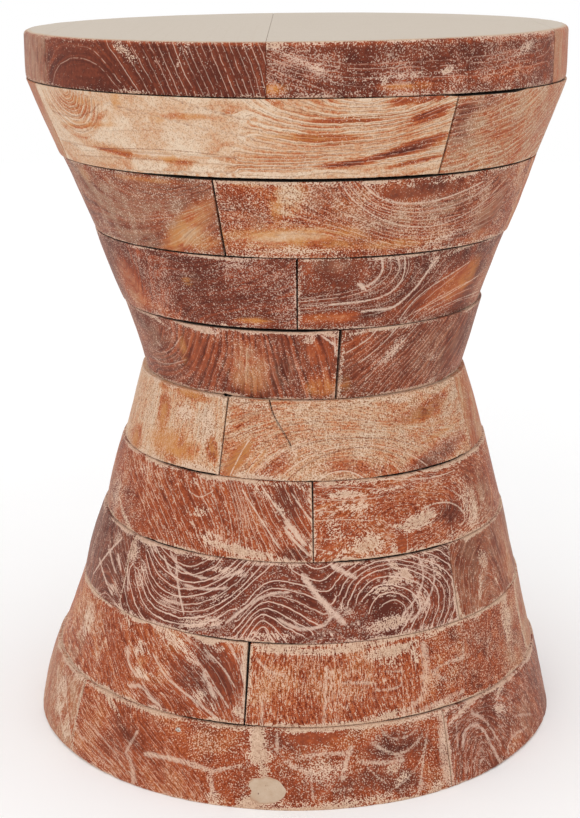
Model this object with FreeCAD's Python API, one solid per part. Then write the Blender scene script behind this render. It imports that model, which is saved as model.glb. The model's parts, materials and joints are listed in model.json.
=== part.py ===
import FreeCAD, Part
import math
import os

from FreeCAD import Vector

# An hourglass accent table turned from glued wood, in millimetres.
# The floor is z = 0, the front faces -Y, and azimuth 0 is the front, growing towards +X.

# Overall sizes
top_diameter = 357.0
top_thickness = 31.5
waist_diameter = 217.5
skirt_top_diameter = 223.0
base_diameter = 367.5
course_height = 49.35
upper_courses = 4
lower_courses = 5

# Turned outline
bell_hollow = 3.6
waist_wander = 5.4
ledge = 1.0
arris = 0.8
foot_arris = 2.2

# How far each course lies to the right, as a share of the wander, from the top course down
wander_shares = (0.15, 0.55, 0.6, 0.93, 1.0, 0.97, 0.8, 0.35, 0.0)
# How far each course stands proud of the even outline, as a share of the ledge
proud_shares = (0.4, 0.6, -0.4, -0.4, 0.0, 0.4, 0.3, 0.0, 0.0)

# Azimuths of the four glued joints in each course, in degrees, from the top course down
joint_azimuths = (
    (-67.0, 31.9, 122.0, 208.0),
    (-19.5, 70.5, 160.0, 251.0),
    (-0.8, 89.5, 181.0, 272.0),
    (10.6, 98.0, 188.0, 281.0),
    (-26.2, 64.0, 155.0, 244.0),
    (2.5, 93.0, 180.0, 273.0),
    (-52.5, 42.7, 133.0, 219.0),
    (-11.9, 73.0, 165.0, 256.0),
    (-55.9, 34.1, 124.0, 213.0),
)
# The joints that have opened, by course and by place in that course's row
opened_joints = ((4, 1), (8, 1))
# The round hole that parts the blocks at the axis, as a share of the core's half width
pilot_share = 0.65

# Inside of the stack and its glue
core_half_width = 46.0
glue_line = 0.2
open_joint = 1.1

# Boards of the top; the right board fills what the others leave
left_strip_width = 24.5
left_board_width = 137.0
right_strip_width = 18.5

# Edge of the top, whose arris is eased in equal steps
edge_round = 2.5
edge_steps = 3
edge_taper = 2.2
edge_taper_height = 9.0

# Loose tenons that join one layer to the next
tenon_thickness = 12.0
tenon_width = 32.0
tenon_seat = 22.0
top_tenon_seat = 16.0
tenon_inset = 30.0
tenon_clearance = 0.15
tenon_end_gap = 0.5

# Brad in the base course, measured down from that course's upper face
brad_azimuth = -25.8
brad_below_seam = 7.0
brad_head_diameter = 4.2
brad_head_thickness = 1.2
brad_shank_diameter = 2.0
brad_length = 32.0
brad_clearance = 0.1

# Oval plug that fills a knot in the base course
plug_azimuth = -5.9
plug_height = 12.5
plug_width = 29.0
plug_rise = 18.0
plug_depth = 10.0
plug_clearance = 0.1

# How far a cutting shape runs past what it cuts
overrun = 5.0

UP = Vector(0, 0, 1)
AXIS_FOOT = Vector(0, 0, 0)

course_count = upper_courses + lower_courses
course_pitch = course_height + glue_line
stack_height = course_count * course_pitch
total_height = stack_height + top_thickness
waist_height = lower_courses * course_pitch
widest_radius = max(top_diameter, base_diameter) / 2


def turn_to(shape, azimuth):
    """Turn a shape built along +X so that it points at an azimuth."""
    shape.rotate(AXIS_FOOT, UP, azimuth - 90)
    return shape


def course_top(course):
    """Height of a course's upper face; course 1 lies under the top."""
    return stack_height - glue_line - (course - 1) * course_pitch


def course_bottom(course):
    """Height of a course's lower face."""
    return course_top(course) - course_height


def bell_radius(height):
    """Turned radius above the waist: a cone with a shallow hollow."""
    share = (height - waist_height) / (stack_height - waist_height)
    straight = waist_diameter / 2 + (top_diameter - waist_diameter) / 2 * share
    return straight - 4 * bell_hollow * share * (1 - share)


def skirt_radius(height):
    """Turned radius below the waist: a straight flare to the floor."""
    share = 1 - height / waist_height
    return skirt_top_diameter / 2 + (base_diameter - skirt_top_diameter) / 2 * share


def course_radius(course, height):
    """Turned radius of one course at a height."""
    outline = bell_radius if course <= upper_courses else skirt_radius
    return outline(height) + ledge * proud_shares[course - 1]


def course_shift(course):
    """Sideways place of a course's own turning axis."""
    return waist_wander * wander_shares[course - 1]


def reach(azimuth, radius, shift):
    """Distance from the axis to a shifted circle along an azimuth."""
    angle = math.radians(azimuth)
    return shift * math.sin(angle) + math.sqrt(radius ** 2 - (shift * math.cos(angle)) ** 2)


def cone(course, low, low_radius, high, high_radius):
    """Flared disc about a course's own axis."""
    foot = Vector(course_shift(course), 0, low)
    return Part.makeCone(low_radius, high_radius, high - low, foot)


def course_solid(course):
    """One course before it is parted: a flared disc with broken edges."""
    high = course_top(course)
    low = course_bottom(course)
    low_arris = foot_arris if course == course_count else arris
    high_radius = course_radius(course, high)
    low_radius = course_radius(course, low)
    high_shoulder = high - arris
    low_shoulder = low + low_arris
    foot = cone(course, low, low_radius - low_arris, low_shoulder, low_radius)
    flare = cone(course, low_shoulder, low_radius, high_shoulder, high_radius)
    rim = cone(course, high_shoulder, high_radius, high, high_radius - arris)
    return foot.fuse([flare, rim])


def groove_section(course, azimuth, radius, height):
    """Triangle that breaks the two arrises beside a joint at one height."""
    face = reach(azimuth, radius, course_shift(course))
    half = arris + glue_line / 2 + overrun
    root = Vector(face - arris, 0, height)
    left = Vector(face - arris + half, -half, height)
    right = Vector(face - arris + half, half, height)
    return Part.makePolygon([root, left, right, root])


def joint_cutter(course, azimuth, width):
    """Glue gap and broken arrises of one joint, as shapes to cut away."""
    high = course_top(course) + overrun
    low = course_bottom(course) - overrun
    slab = Part.makeBox(
        widest_radius + overrun, width, high - low, Vector(0, -width / 2, low))
    high_radius = course_radius(course, course_top(course))
    low_radius = course_radius(course, course_bottom(course))
    slope = (high_radius - low_radius) / course_height
    groove = Part.makeLoft([
        groove_section(course, azimuth, low_radius - slope * overrun, low),
        groove_section(course, azimuth, high_radius + slope * overrun, high),
    ], True, True)
    return [turn_to(slab, azimuth), turn_to(groove, azimuth)]


def bearing(shape):
    """Azimuth of a shape's centre, from 0 to 360 degrees."""
    centre = shape.CenterOfMass
    return math.degrees(math.atan2(centre.x, -centre.y)) % 360


def course_blocks(course):
    """The four mitred blocks of one course, in the order of their first joints."""
    azimuths = joint_azimuths[course - 1]
    height = course_height + 2 * overrun
    foot = Vector(0, 0, course_bottom(course) - overrun)
    pilot = Part.makeCylinder(core_half_width * pilot_share, height, foot)
    cutters = [pilot]
    for place, azimuth in enumerate(azimuths):
        opened = (course, place + 1) in opened_joints
        cutters += joint_cutter(course, azimuth, open_joint if opened else glue_line)
    parted = course_solid(course).cut(cutters).Solids
    blocks = []
    for place, azimuth in enumerate(azimuths):
        following = azimuths[place + 1] if place + 1 < len(azimuths) else azimuths[0] + 360
        middle = (azimuth + following) / 2
        block = min(parted, key=lambda solid: abs((bearing(solid) - middle + 180) % 360 - 180))
        beyond = Part.makeBox(
            widest_radius, 2 * widest_radius, height,
            Vector(core_half_width, -widest_radius, foot.z))
        blocks.append(block.common(turn_to(beyond, middle)))
    return blocks


def top_solid():
    """The top before it is parted: a disc with an eased rim and a tapered foot."""
    radius = top_diameter / 2
    foot = stack_height
    shoulder = total_height - edge_round
    points = [Vector(0, 0, foot), Vector(radius - edge_taper, 0, foot),
              Vector(radius, 0, foot + edge_taper_height)]
    for step in range(edge_steps + 1):
        angle = math.radians(90 * step / edge_steps)
        points.append(Vector(
            radius - edge_round * (1 - math.cos(angle)), 0,
            shoulder + edge_round * math.sin(angle)))
    points += [Vector(0, 0, total_height), points[0]]
    return Part.Face(Part.makePolygon(points)).revolve(AXIS_FOOT, UP, 360)


def top_boards():
    """Boards of the top, edge-glued, running from front to back."""
    radius = top_diameter / 2
    first = -radius + left_strip_width
    second = first + left_board_width
    third = radius - right_strip_width
    slabs = []
    for place in (first, second, third):
        corner = Vector(place - glue_line / 2, -radius - overrun, stack_height - overrun)
        slabs.append(Part.makeBox(
            glue_line, 2 * (radius + overrun), top_thickness + 2 * overrun, corner))
    solids = top_solid().cut(slabs).Solids
    return sorted(solids, key=lambda solid: solid.CenterOfMass.x)


def tenon_azimuths(upper, lower):
    """One azimuth under each upper piece, midway along its longest stretch on one lower piece."""
    found = []
    for place, start in enumerate(upper):
        end = upper[place + 1] if place + 1 < len(upper) else upper[0] + 360
        stops = [start, end]
        for azimuth in lower:
            for turn in (-360, 0, 360):
                if start < azimuth + turn < end:
                    stops.append(azimuth + turn)
        stops.sort()
        stretches = [(after - before, before) for before, after in zip(stops, stops[1:])]
        length, before = max(stretches)
        found.append(before + length / 2)
    return found


def seam_height(seam):
    """Underside of the glue line at a seam; seam 0 is under the top."""
    return course_top(seam + 1)


def tenon_bars(seam, clearance, end_gap):
    """The four upright bars through a seam, or with clearances the mortises that take them."""
    lower = joint_azimuths[seam]
    upper = joint_azimuths[seam - 1] if seam else lower
    height = seam_height(seam)
    rise = tenon_seat if seam else top_tenon_seat
    radius = course_radius(seam + 1, height)
    shift = course_shift(seam + 1)
    if seam:
        radius = min(radius, course_radius(seam, height))
        shift = min(shift, course_shift(seam))
    thickness = tenon_thickness + 2 * clearance
    width = tenon_width + 2 * clearance
    foot = height - tenon_seat - end_gap
    length = tenon_seat + glue_line + rise + 2 * end_gap
    bars = []
    for azimuth in tenon_azimuths(upper, lower):
        middle = reach(azimuth, radius, shift) - tenon_inset
        corner = Vector(middle - thickness / 2, -width / 2, foot)
        bars.append(turn_to(Part.makeBox(thickness, width, length, corner), azimuth))
    return bars


def tenons(seam):
    """The loose tenons of one seam."""
    return tenon_bars(seam, 0, 0)


def mortises(seam):
    """The cut space of one seam's tenons, in both layers."""
    return tenon_bars(seam, tenon_clearance, tenon_end_gap)


def base_face_distance(azimuth, height):
    """Distance from the axis to the base course's turned face."""
    low = course_bottom(course_count) + foot_arris
    high = course_top(course_count) - arris
    low_radius = course_radius(course_count, course_bottom(course_count))
    high_radius = course_radius(course_count, course_top(course_count))
    share = (height - low) / (high - low)
    radius = low_radius + (high_radius - low_radius) * share
    return reach(azimuth, radius, course_shift(course_count))


def brad(clearance):
    """The brad, or with a clearance the space it is driven into."""
    brad_height = course_top(course_count) - brad_below_seam
    face = base_face_distance(brad_azimuth, brad_height)
    head = Part.makeCylinder(
        brad_head_diameter / 2 + clearance, brad_head_thickness + clearance,
        Vector(face - brad_head_thickness - clearance, 0, brad_height), Vector(1, 0, 0))
    shank = Part.makeCylinder(
        brad_shank_diameter / 2 + clearance, brad_length - brad_head_thickness,
        Vector(face - brad_length - clearance, 0, brad_height), Vector(1, 0, 0))
    return turn_to(head.fuse(shank).removeSplitter(), brad_azimuth)


def brad_space():
    """The driven hole of the brad, open at the turned face."""
    brad_height = course_top(course_count) - brad_below_seam
    face = base_face_distance(brad_azimuth, brad_height)
    mouth = Part.makeCylinder(
        brad_head_diameter / 2 + brad_clearance, overrun,
        Vector(face - brad_clearance, 0, brad_height), Vector(1, 0, 0))
    return brad(brad_clearance).fuse(turn_to(mouth, brad_azimuth))


def plug_bar(clearance):
    """Oval bar through the base course's face at the filled knot."""
    face = base_face_distance(plug_azimuth, plug_height)
    outline = Part.Ellipse(AXIS_FOOT, plug_width / 2 + clearance, plug_rise / 2 + clearance)
    section = Part.Face(Part.Wire(outline.toShape()))
    section.rotate(AXIS_FOOT, Vector(1, 1, 1), 120)
    section.translate(Vector(face - plug_depth - clearance, 0, plug_height))
    return turn_to(section.extrude(Vector(plug_depth + clearance + overrun, 0, 0)), plug_azimuth)


def knot_plug():
    """The plug, turned flush with the base course."""
    return plug_bar(0).common(course_solid(course_count))


def export(name, shapes):
    """Write one node from its solids and print its measure."""
    solids = []
    for shape in shapes:
        solids += shape.Solids
    body = solids[0] if len(solids) == 1 else Part.makeCompound(solids)
    body.exportStep("parts/" + name + ".step")
    print(name, len(solids), round(body.Volume))


def main():
    os.makedirs("parts", exist_ok=True)
    for course in range(1, course_count + 1):
        carved = mortises(course - 1)
        if course < course_count:
            carved += mortises(course)
        else:
            carved += [brad_space(), plug_bar(plug_clearance)]
        for place, block in enumerate(course_blocks(course)):
            name = "course_%d_block_%d" % (course, place + 1)
            export(name, [block.cut(carved)])
    names = ("top_left_strip", "top_left_board", "top_right_board", "top_right_strip")
    for name, board in zip(names, top_boards()):
        export(name, [board.cut(mortises(0))])
    export("tenons_under_top", tenons(0))
    for seam in range(1, course_count):
        export("tenons_course_%d_to_%d" % (seam, seam + 1), tenons(seam))
    export("brad_nail", [brad(0)])
    export("knot_plug", [knot_plug()])


main()
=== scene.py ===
import json
import math
from typing import NamedTuple

import bpy
import numpy as np
from bpy.props import FloatProperty, FloatVectorProperty, PointerProperty
from bpy.types import Operator, Panel, PropertyGroup
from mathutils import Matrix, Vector


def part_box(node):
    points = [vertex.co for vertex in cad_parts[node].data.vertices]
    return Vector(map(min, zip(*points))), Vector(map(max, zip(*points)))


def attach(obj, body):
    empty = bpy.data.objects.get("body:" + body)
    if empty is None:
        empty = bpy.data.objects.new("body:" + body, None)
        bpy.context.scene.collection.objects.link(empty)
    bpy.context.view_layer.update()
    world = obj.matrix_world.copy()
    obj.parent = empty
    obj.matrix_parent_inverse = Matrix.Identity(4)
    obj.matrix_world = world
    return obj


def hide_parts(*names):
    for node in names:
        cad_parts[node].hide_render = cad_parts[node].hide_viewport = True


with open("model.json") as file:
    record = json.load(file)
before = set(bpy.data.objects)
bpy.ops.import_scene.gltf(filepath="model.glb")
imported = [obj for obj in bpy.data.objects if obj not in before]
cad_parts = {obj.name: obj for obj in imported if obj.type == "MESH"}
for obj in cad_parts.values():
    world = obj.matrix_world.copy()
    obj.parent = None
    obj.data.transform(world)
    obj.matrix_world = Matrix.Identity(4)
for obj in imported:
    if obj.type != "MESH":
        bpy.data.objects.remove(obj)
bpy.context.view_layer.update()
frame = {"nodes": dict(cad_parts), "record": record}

SLOTS = {part["node"]: part["material_slot"] for part in frame["record"]["subparts"]}

bl_info = {
    "name": "Turned Block Accent Table",
    "version": (1, 0, 0),
    "blender": (4, 5, 0),
    "location": "View3D > Sidebar > Accent Table",
    "description": "Dresses the stacked hourglass table: blocks, top boards, finish and stage",
    "category": "Object",
}

# Lengths are in millimetres and azimuths in degrees, 0 at the front and growing to the right,
# until a mesh is written in metres.
MM = 0.001

# Azimuths of the four glued joints of each course, from the course under the top downwards
JOINTS = (
    (-67.0, 31.9, 122.0, 208.0),
    (-19.5, 70.5, 160.0, 251.0),
    (-0.8, 89.5, 181.0, 272.0),
    (10.6, 98.0, 188.0, 281.0),
    (-26.2, 64.0, 155.0, 244.0),
    (2.5, 93.0, 180.0, 273.0),
    (-52.5, 42.7, 133.0, 219.0),
    (-11.9, 73.0, 165.0, 256.0),
    (-55.9, 34.1, 124.0, 213.0),
)
COURSES = len(JOINTS)

# Turned radius of each course at its top, middle and bottom
RADII = (
    (178.7, 169.6, 160.1), (159.1, 149.6, 140.0), (139.2, 130.9, 121.8), (122.6, 115.4, 108.7),
    (111.6, 118.7, 125.2), (126.6, 133.5, 139.1), (140.5, 147.7, 153.7), (154.3, 161.3, 169.0),
    (170.9, 178.0, 183.4),
)
# Sideways place of the turned circle at the same three heights: the stack was turned by hand
SHIFTS = (
    (0.2, 0.9, 1.3), (2.1, 3.4, 4.0), (3.0, 2.5, 3.3), (4.7, 5.5, 5.1),
    (5.1, 5.7, 5.5), (5.7, 5.0, 5.3), (5.0, 3.5, 3.4), (3.7, 1.9, 0.3),
    (0.0, -1.0, -0.7),
)
# How much higher than the even pitch each seam was glued, from the seam under the top downwards
SEAM_RISES = (0.0, 0.3, -0.4, 0.5, 1.9, 2.2, 1.9, 2.0, 1.1)

# Where a seam has opened: pairs of azimuth and opening, from the seam under the top downwards
OPENINGS = (
    ((-70, .5), (-45, .5), (-10, .55), (8, .35), (28, .35), (33, 1.5), (48, 1.7), (52, .5),
     (80, .5)),
    ((-60, .6), (-36, .8), (-26, 1.9), (27, 1.9), (34, 1.1), (60, .9), (80, .6)),
    ((-60, .7), (-30, .9), (-14, .9), (-8, .4), (12, .5), (18, 1.0), (48, .9), (80, .6)),
    ((-70, .3), (-48, .8), (-36, 1.7), (3, 1.7), (10, .7), (18, .2), (80, .3)),
    ((-80, .3), (-26.4, .3), (-26, 2.4), (-22.4, .3), (20, .3), (80, .3)),
    ((-80, .3), (-48, .5), (-42, 1.3), (-26, 1.3), (-24, .2), (0, .2), (4, .8), (8, .2),
     (22, .6), (30, 1.3), (56, 1.2), (62, .3)),
    ((-80, .4), (-50, .9), (-36, .9), (-28, .3), (8, .4), (14, 1.2), (40, 1.4), (44, .4)),
    ((-80, .3), (-45, 1.0), (-30, .6), (-22, .8), (-8, .8), (0, .4), (80, .6)),
    ((-80, .4), (-42, .4), (-24, .9), (-12, 1.2), (-8, .3), (12, .4), (20, .8), (42, .8),
     (80, .5)),
)
UNSEEN_OPENING = (0.3, 1.3)
# Where filler closes a seam: pairs of azimuths, from the seam under the top downwards
FILLED = (
    (), (), (), ((20, 90),), ((-22, 90), (-90, -30)), ((-23, 3), (8, 24), (-90, -50)),
    ((-90, -48), (-29, 10), (46, 90)), ((-90, -24), (2, 90)), ((-90, -26), (-6, 20), (44, 90)),
)
# How pale wear has left the arrises of each course, from the course under the top downwards
WORN = (.2, .35, .4, .6, .5, .7, .75, .8, .75)

# Joints that have opened: course, joint, opening at the top and at the bottom
OPEN_JOINTS = {(2, 1): (1.2, 1.9), (4, 1): (1.9, 1.7), (8, 1): (2.1, .9), (1, 2): (1.4, 1.3),
               (3, 1): (1.1, .9), (5, 1): (1.2, .8), (6, 1): (1.2, .6), (7, 2): (.6, .7)}
TIGHT_JOINT = 0.45

# Cracks: course, block, width, then azimuth and height along the crack
CRACKS = (
    (5, 1, 0.9, (-8.9, 249.5), (-7.9, 243), (-6.6, 238), (-4.6, 232), (-3.4, 228.5), (-1.6, 222)),
)

# Mesh spacing
EDGE_STEPS = (0.0, 0.2, 0.5, 0.9, 1.4, 2.1, 3.0, 4.1)
FRONT_REACH = 100.0
BACK_PITCH = 1.5
CRACK_STEP = 0.4
SLOT_DEPTH = 7.0
SLOT_SLOPE = 2.5
SEAM_DEPTHS = (.7, 1.4, 2.1, 3.4, SLOT_DEPTH, SLOT_DEPTH + SLOT_SLOPE, 20.0)
INNER_FACE = 46.0
GLUE_LINE = 0.2

# Wear of the foot's lower arris: its depth, and where round the table it is deepest
FOOT_WEAR = 2.8
FOOT_WEAR_AT = 57
FOOT_WEAR_SPAN = 22

# Arrises: how much their size wanders, the depth of chips along the upper and lower ones, and
# how much of an eased arris filler takes away
EASE_WANDER = 0.6
TOP_CHIPS = 2.2
LOW_CHIPS = 1.6
FILL_EASES = 0.8
LEAST_EASE = 0.12
MOST_EASE = 3
# Share of a seam's opening that the block under it and the block over it give up
SEAM_BELOW = 0.6
SEAM_ABOVE = 0.4
LEAST_SEAM = 0.1
CRACK_DEPTH = 2.2
CRACK_MARGIN = 2
# Long and short waves that the turning tool left: size, and height as a share of the setting's
TOOL_WAVES = ((46, 1.0), (13, .35))
# How far wear reaches over an arris, and how strong it is there, each as a mean and its wander
WORN_REACH = (2.6, 2.0)
WORN_WASH = (1.1, 1.1)
# Growth rings that RING_LINES lays out, and rings drawn from eyes: how far they wander, and how
# softly two sets of them flow together
LAID_WANDER, LAID_BLEND = 0.6, 5.0
EYES_WANDER, EYES_BLEND = 2.6, 9.0

# Oval of filler: rings as shares of its size, then its edge as share and height, and its depth
OVAL_POINTS = 72
OVAL_SHARES = (.2, .4, .6, .8, .9, .96)
OVAL_DEPTH = 8.0
OVAL_EDGE = ((1.0, -.1), (1.0, -.6), (.97, -OVAL_DEPTH))
# Head and shank of the brad: share of the head's radius, and height over the wood
BRAD_PROFILE = ((.3, .30), (.6, .24), (.85, .12), (.97, -.05), (1.0, -.3), (.96, -1.1),
                (.45, -1.4), (.42, -14.0))
BRAD_CROWN = 0.32
BRAD_SIDES = 28

# Boards of the top and its rim. The top's upper face leans down to the left a little
TOP_NODES = ("top_left_strip", "top_left_board", "top_right_board", "top_right_strip")
TOP_RADIUS = 178.6
TOP_CUTS = (-154.0, -17.0, 160.0)
TOP_GLUE = 0.25
TOP_FACE_EDGE = (0.6, 1.4, 2.6, 4.4, 7.0)
TOP_FACE_STEPS = 18
RIM_HEIGHTS = (0.0, 1.2, 3.0, 6.0)
RIM_INSETS = (0.9, 0.4, 0.2, 0.1)
RIM_ROUND = (1.8, 3.4)
TOP_LEAN = .0095
RIM_BAND = 3.4


class Look(NamedTuple):
    """Figure and finish of one piece of wood.

    stain runs from 0, maroon, over red-brown, orange and gold to 1, pale tan.
    rings lists the eyes that the growth rings circle, as azimuth, height, wide and tall. It is
    empty where RING_LINES lays the rings out.
    spacing is the distance between rings. lines, bands, speckle and grey are the strength of
    their pale lines, of their dark bands, of the flecks of wash and of the grey film.
    tints, washes, greys, golds and smooth are patches of stain, cream wash, grey, gold and
    calm wood: azimuth, height, half width, half height, the lean of one that leans, amount.
    Greys nearer the front are a grey film; the wide greys toward the sides, about 50 degrees and
    more from the front, are a painted sheen of the glancing light there.
    strokes are brush strokes of cream: width, amount, then azimuth and height along the stroke.
    darks are dark lines, given in the same way.
    """

    stain: float
    rings: tuple
    spacing: float = 4.4
    lines: float = .5
    bands: float = .5
    speckle: float = .4
    grey: float = 0.0
    tints: tuple = ()
    washes: tuple = ()
    strokes: tuple = ()
    darks: tuple = ()
    greys: tuple = ()
    golds: tuple = ()
    smooth: tuple = ()


LOOKS = {}
# Course 1, under the top: a long pale block with an eye at its left and sagging rings
LOOKS[1, 1] = Look(
    .96, (), 2.6, .5, 1.1, .45,
    tints=((-51, 436, 21.5, 9.5, -.22), (-46, 411.5, 33, 3.5, -6, -.22),
        (-51, 422.5, 32, 2, 6, -.2), (-42.5, 430.5, 13, 2, 30, -.2), (-32, 407, 55.5, 2, -3, -.2),
        (-20.5, 434, 21.5, 2, -.16), (-6, 409, 33.5, 8.5, -.14), (23.5, 444, 20.5, 3, 4, -.5),
        (27, 435, 15, 4, 18, -.5), (10, 432.5, 20.5, 1.5, -.45), (25.5, 417, 25, 3, 14, -.5),
        (14.5, 425.5, 55.5, 18, 4, -.12), (6.5, 422, 23, 3, -2, -.3), (19.5, 411, 35.5, 2, 9, -.5),
        (25.5, 406, 22, 1.5, 9, -.5), (10, 406, 17.5, 2, 3, -.45), (-2, 442.5, 16, 2, -16, -.16),
        (-79.5, 408.5, 11.5, 22, 30, -.25), (4.5, 445, 20, 2, -.14)),
    greys=((30, 411.5, 7.5, 4, .5), (-78.5, 412, 11.5, 23.5, 30, .8)),
    golds=((-37, 439.5, 3.5, 9, -14, 1), (-40, 429.5, 7, 3, 40, .9), (-46, 439.5, 15.5, 3, .6),
        (-48.5, 424, 36.5, 2, 4, .6), (-28, 432, 5.5, 3, 1), (-20.5, 434, 11.5, 1.5, .8),
        (1, 422.5, 19, 2, -3, .9), (-6, 422.5, 6.5, 1.5, -10, .8), (-27.5, 408, 7, 3, 1),
        (-32, 408.5, 47.5, 1.5, -4, .5)),
    darks=((.5, .8, (-46.5, 409.5), (-34, 412.5), (-24, 413), (-16.5, 411.5)),
        (.9, .5, (-56.5, 402.5), (-37.5, 406), (-20, 406), (-9.5, 405)),
        (.5, .4, (-54, 418), (-41, 422), (-30, 424.5)),
        (.9, .6, (-62, 429), (-54, 427), (-45.5, 431.5), (-42, 438)),
        (.7, .5, (-63, 433), (-55, 432), (-48.5, 435), (-44, 440)),
        (.5, .7, (-2, 439), (4.5, 435.5), (13, 434), (22, 436), (29, 444)),
        (.5, .6, (1, 431), (10.5, 429), (19.5, 430)),
        (.5, .6, (-3, 422.5), (6.5, 417.5), (18.5, 421), (30, 430.5)),
        (.5, .5, (1, 410.5), (11, 413), (21, 416.5), (31.5, 421.5)),
        (.5, .5, (-1, 405.5), (11, 407.5), (23.5, 411), (32, 416))),
    washes=((26, 438.5, 12, .5, 22, .5),))
LOOKS[1, 2] = Look(
    .72, ((30, 490, 1.7, 1.0),), 3.4, .6, .7, .6, .6,
    tints=((37.5, 439, 23.5, 6, 8, -.34), (34.5, 425, 11.5, 12.5, -.34)),
    greys=((37.5, 420.5, 17, 18, .5),))
LOOKS[1, 4] = Look(
    .62, ((-120, 380, 1.0, 2.4),), 3.6, .3, .5, .3, .6,
    washes=((-72, 420, 4, 14, .35),))
# Course 2
LOOKS[2, 4] = Look(
    .36, (), 2.6, .3, .5, .7, .45,
    tints=((-27.5, 363.5, 35, 8.5, 40, .34), (-24, 356, 16, 8.5, .3), (-34.5, 392.5, 27.5, 2, .3),
        (-60.5, 388.5, 7, 5.5, .3)),
    greys=((-52.5, 371.5, 39.5, 20.5, -30, .6), (-32, 375.5, 23.5, 5, 10, .5),
        (-32, 365, 9.5, 3.5, 20, .4)),
    golds=((-28, 362, 30.5, 8.5, 40, .8), (-23, 354.5, 11.5, 6, .5), (-35.5, 392.5, 25, 2, .5),
        (-60.5, 388.5, 7, 5.5, .6)),
    darks=((.5, .6, (-28.5, 356.5), (-25, 364), (-19.5, 372)),
        (.5, .5, (-23, 356.5), (-20.5, 362)), (.9, .6, (-35, 387), (-29.5, 387), (-25, 391.5)),
        (.9, .6, (-36, 380), (-30.5, 381.5), (-25.5, 385.5)),
        (.7, .5, (-53, 386.5), (-51, 380), (-43.5, 377.5), (-37.5, 378.5)),
        (.7, .4, (-57.5, 379.5), (-54, 372.5), (-46, 371))),
    smooth=((-28, 360.5, 33.5, 9.5, 40, .7),))
LOOKS[2, 1] = Look(
    .48, (), 2.6, .6, .6, 1.0, .15,
    tints=((-4, 361.5, 41.5, 7, 3, .4), (1, 352.5, 40, 3, .26), (-1.5, 386, 10, 14, .38),
        (-9, 394, 23, 2, .2), (27.5, 388, 27, 5.5, 6, -.18), (-4.5, 379, 4, 11, .12),
        (24.5, 354.5, 25, 4, .2), (48, 357, 34, 6, 16, -.14)),
    greys=((31, 373, 36, 8.5, 10, .8), (6.5, 385.5, 12, 9.5, .4), (-8.5, 370, 7, 5.5, .4),
        (17, 369.5, 21, 7, -20, .4), (53.5, 371.5, 18, 22, -25, .7)),
    golds=((-1.5, 362.5, 36, 4, 2, .95), (5.5, 357, 27, 3, -4, .8), (-4.5, 378, 3.5, 11, .7),
        (-18.5, 367, 2, 14, 10, .7), (24.5, 354, 23.5, 3.5, .7), (12.5, 363.5, 16.5, 4, -20, .5)),
    darks=((.5, .4, (-17, 357.5), (-6, 365), (1, 370.5)),
        (.7, .5, (-5, 361.5), (1, 363), (7, 361.5)), (.6, .5, (1, 357), (8, 356.5), (12, 353)),
        (.5, .4, (-2.5, 393), (3, 392.5)), (.5, .4, (-3.5, 388.5), (2.5, 388)),
        (.5, .4, (-2.5, 384.5), (2, 384.5)),
        (.5, .5, (19, 383), (22.5, 378.5), (32, 376.5), (43.5, 381)),
        (.5, .5, (22, 372), (29.5, 369.5), (41.5, 372), (51, 381))),
    washes=((-9, 394.5, 27, 1, .9), (17, 394.5, 8.5, 1.5, 1.1), (1, 351, 47, 1.5, .5),
        (38.5, 394.5, 25.5, 1.5, 10, .8), (39, 355, 20.5, 2, 14, .4), (26, 391, 3.5, 1.5, .8)),
    strokes=((.8, .9, (14, 395), (17, 386.5), (21.5, 381), (29, 379), (37, 381.5), (46.5, 388.5)),
        (.6, .7, (11.5, 393.5), (15, 382.5), (23, 375), (32, 373), (44, 378), (51.5, 389)),
        (.7, .8, (9.5, 395.5), (12, 384.5), (19.5, 370), (27.5, 364), (36.5, 363), (48.5, 372),
         (56, 387)), (.5, .6, (15, 395), (18.5, 385.5), (22.5, 382))),
    smooth=((27.5, 387, 27.5, 6, 4, .75), (-1.5, 360, 40, 6, 2, .65),
        (54.5, 368, 14, 22, -25, .8)))
LOOKS[2, 2] = Look(.66, ((110, 300, 1.0, 3.0),), 4.4, .2, .3, .3, .3)
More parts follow.
